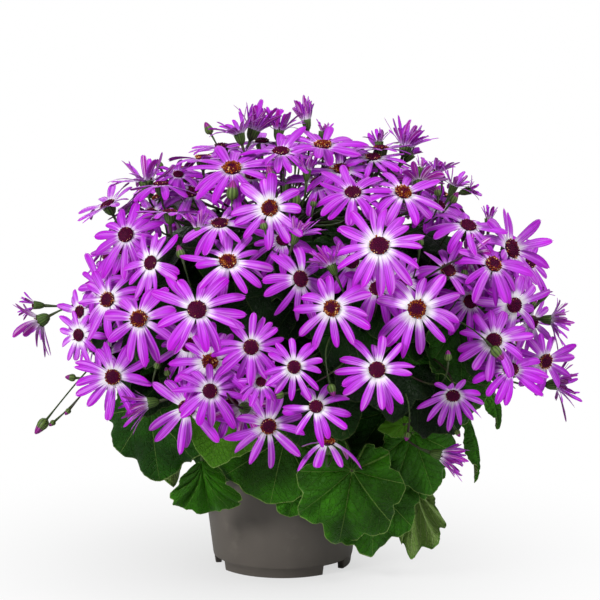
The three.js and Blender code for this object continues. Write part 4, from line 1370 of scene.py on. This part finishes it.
def make_pot():
    """The pot turned as one closed skin. The foot ring's lower edge is lifted in each notch, and
    two pairs of spokes close together give the notch its upright ends."""
    half = math.degrees(NOTCH_WIDTH / 2 / FOOT_RADIUS)
    edges = [-half - 0.25, -half, half, half + 0.25]
    across = np.concatenate([edges, np.linspace(-half + 1, half - 1, NOTCH_SPOKES)])
    azimuth = np.linspace(-180, 180, POT_SPOKES, endpoint=False)
    for middle in NOTCH_AZIMUTHS:
        azimuth = azimuth[np.abs(azimuth - middle) > half + 0.6]
    azimuth = np.sort(np.concatenate([azimuth, *(middle + across for middle in NOTCH_AZIMUTHS)]))
    beside = np.min([np.abs(azimuth - middle) for middle in NOTCH_AZIMUTHS], axis=0)
    radius, height = pot_profile()[1:-1].T[:, :, None]
    low = (height < NOTCH_HEIGHT) & (radius > GUTTER_OUTER - 0.1)
    lifted = np.maximum(height, NOTCH_HEIGHT * (beside <= half + 0.01))
    level = np.where(low, lifted, height)
    body = revolved(radius, np.radians(azimuth), level)
    points = np.concatenate([body, [[0, 0, 0], [0, 0, WALL]]])
    piece = Piece()
    piece.add(points, capped_rings(*level.shape))
    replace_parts(piece.make("pot_finished", [POT], "pot_plastic"), "pot")


def make_soil():
    """A crumbly mound: rings and spokes raised by a few seeded waves of falling size."""
    rng = np.random.default_rng(SOIL_SEED)
    rings, spokes = SOIL_GRID
    ring = np.linspace(0, 1, rings + 1)[1:, None]
    angle = around(spokes)
    radius = (wall(SOIL_TOP) - WALL - SOIL_GAP) * ring
    x, y = radius * np.cos(angle), radius * np.sin(angle)
    rough = np.zeros_like(x)
    for size in CRUMB_SIZES:
        for _ in range(5):
            way, phase = rng.uniform(0, 2 * np.pi, 2)
            across = x * np.cos(way) + y * np.sin(way)
            rough += size / 40 * np.sin(across * 2 * np.pi / size + phase)
    rough += rng.normal(0, 0.25, x.shape)
    level = SOIL_TOP + SOIL_MOUND * (1 - ring) + 0.45 * rough * np.clip((1 - ring) * 8, 0, 1)
    floor_top = GUTTER_HEIGHT + WALL + 0.5
    foot = revolved(wall(floor_top) - WALL - SOIL_GAP, angle, floor_top)
    poles = [[0, 0, SOIL_TOP + SOIL_MOUND], [0, 0, floor_top]]
    points = np.concatenate([revolved(radius, angle, level), foot, poles])
    piece = Piece()
    piece.add(points, capped_rings(rings + 1, spokes, True))
    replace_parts(piece.make("soil_finished", [SOIL], "compost"), "soil")


# ---------------------------------------------------------------- stage, light and camera

AMBIENT = 0.26
FLOOR_GREY = (0.62, 0.62, 0.62, 1)


def make_stage():
    """A pale floor that fades into the white of the studio a little way from the pot."""
    bpy.ops.mesh.primitive_plane_add(size=40, location=(0, 0, 0))
    floor = bpy.context.object
    floor.name = "studio_floor"
    paint = Paint("studio_floor", 0.9, 0.1)
    paint.shader["Base Color"].default_value = FLOOR_GREY
    away = paint.node("ShaderNodeVectorMath", operation="LENGTH")
    paint.put(away.inputs[0], paint.own())
    seen = paint.node("ShaderNodeLightPath").outputs["Is Camera Ray"]
    fade = paint.node("ShaderNodeMixShader")
    paint.put(fade.inputs[0], paint.times(seen, paint.smooth(away.outputs["Value"], -0.4, 0.35)))
    paint.put(fade.inputs[1], paint.tree.nodes["Principled BSDF"].outputs[0])
    paint.put(fade.inputs[2], paint.node("ShaderNodeEmission").outputs[0])
    paint.put(paint.tree.nodes["Material Output"].inputs["Surface"], fade.outputs[0])
    floor.data.materials.append(paint.material)
    world = bpy.data.worlds.new("studio")
    world.use_nodes = True
    sky = Nodes(world.node_tree)
    backdrop = world.node_tree.nodes["Background"].inputs
    backdrop["Color"].default_value = (1, 1, 1, 1)
    seen = sky.node("ShaderNodeLightPath").outputs["Is Camera Ray"]
    sky.put(backdrop["Strength"], sky.line(seen, 1 - AMBIENT, AMBIENT))
    bpy.context.scene.world = world


def add_light(name, place, size, power):
    """A square soft light at a place in metres, turned to the middle of the plant."""
    light = bpy.data.lights.new(name, "AREA")
    light.shape = "SQUARE"
    light.size = size
    light.energy = power
    holder = bpy.data.objects.new(name, light)
    axes = axes_facing(unit(np.array(place) - np.array([0.0, 0.0, 0.2])))
    holder.matrix_world = Matrix([(*axes[:, i], place[i]) for i in range(3)] + [(0, 0, 0, 1)])
    bpy.context.scene.collection.objects.link(holder)


def make_lights():
    add_light("key", (-1.9, -1.7, 1.45), 0.7, 55)
    add_light("fill", (1.9, -0.9, 2.1), 1.2, 46)
    add_light("top", (0.3, 0.5, 2.4), 1.0, 5)
    add_light("back", (-0.9, 2.2, 1.2), 1.2, 16)


def make_camera():
    camera = bpy.data.cameras.new("camera")
    camera.sensor_width = SENSOR
    camera.lens = FOCAL / GRID * SENSOR
    camera.clip_end = 20
    holder = bpy.data.objects.new("camera", camera)
    holder.location = EYE * METRES
    holder.rotation_euler = (math.pi / 2 - PITCH, 0, 0)
    bpy.context.scene.collection.objects.link(holder)
    bpy.context.scene.camera = holder


make_camera()
make_lights()
make_stage()
make_pot()
make_soil()
place_show_heads()
place_back_heads()
place_half_open_heads()
make_shoots()
place_leaves()
place_inner_leaves()

bpy.context.scene.view_settings.view_transform = "Standard"
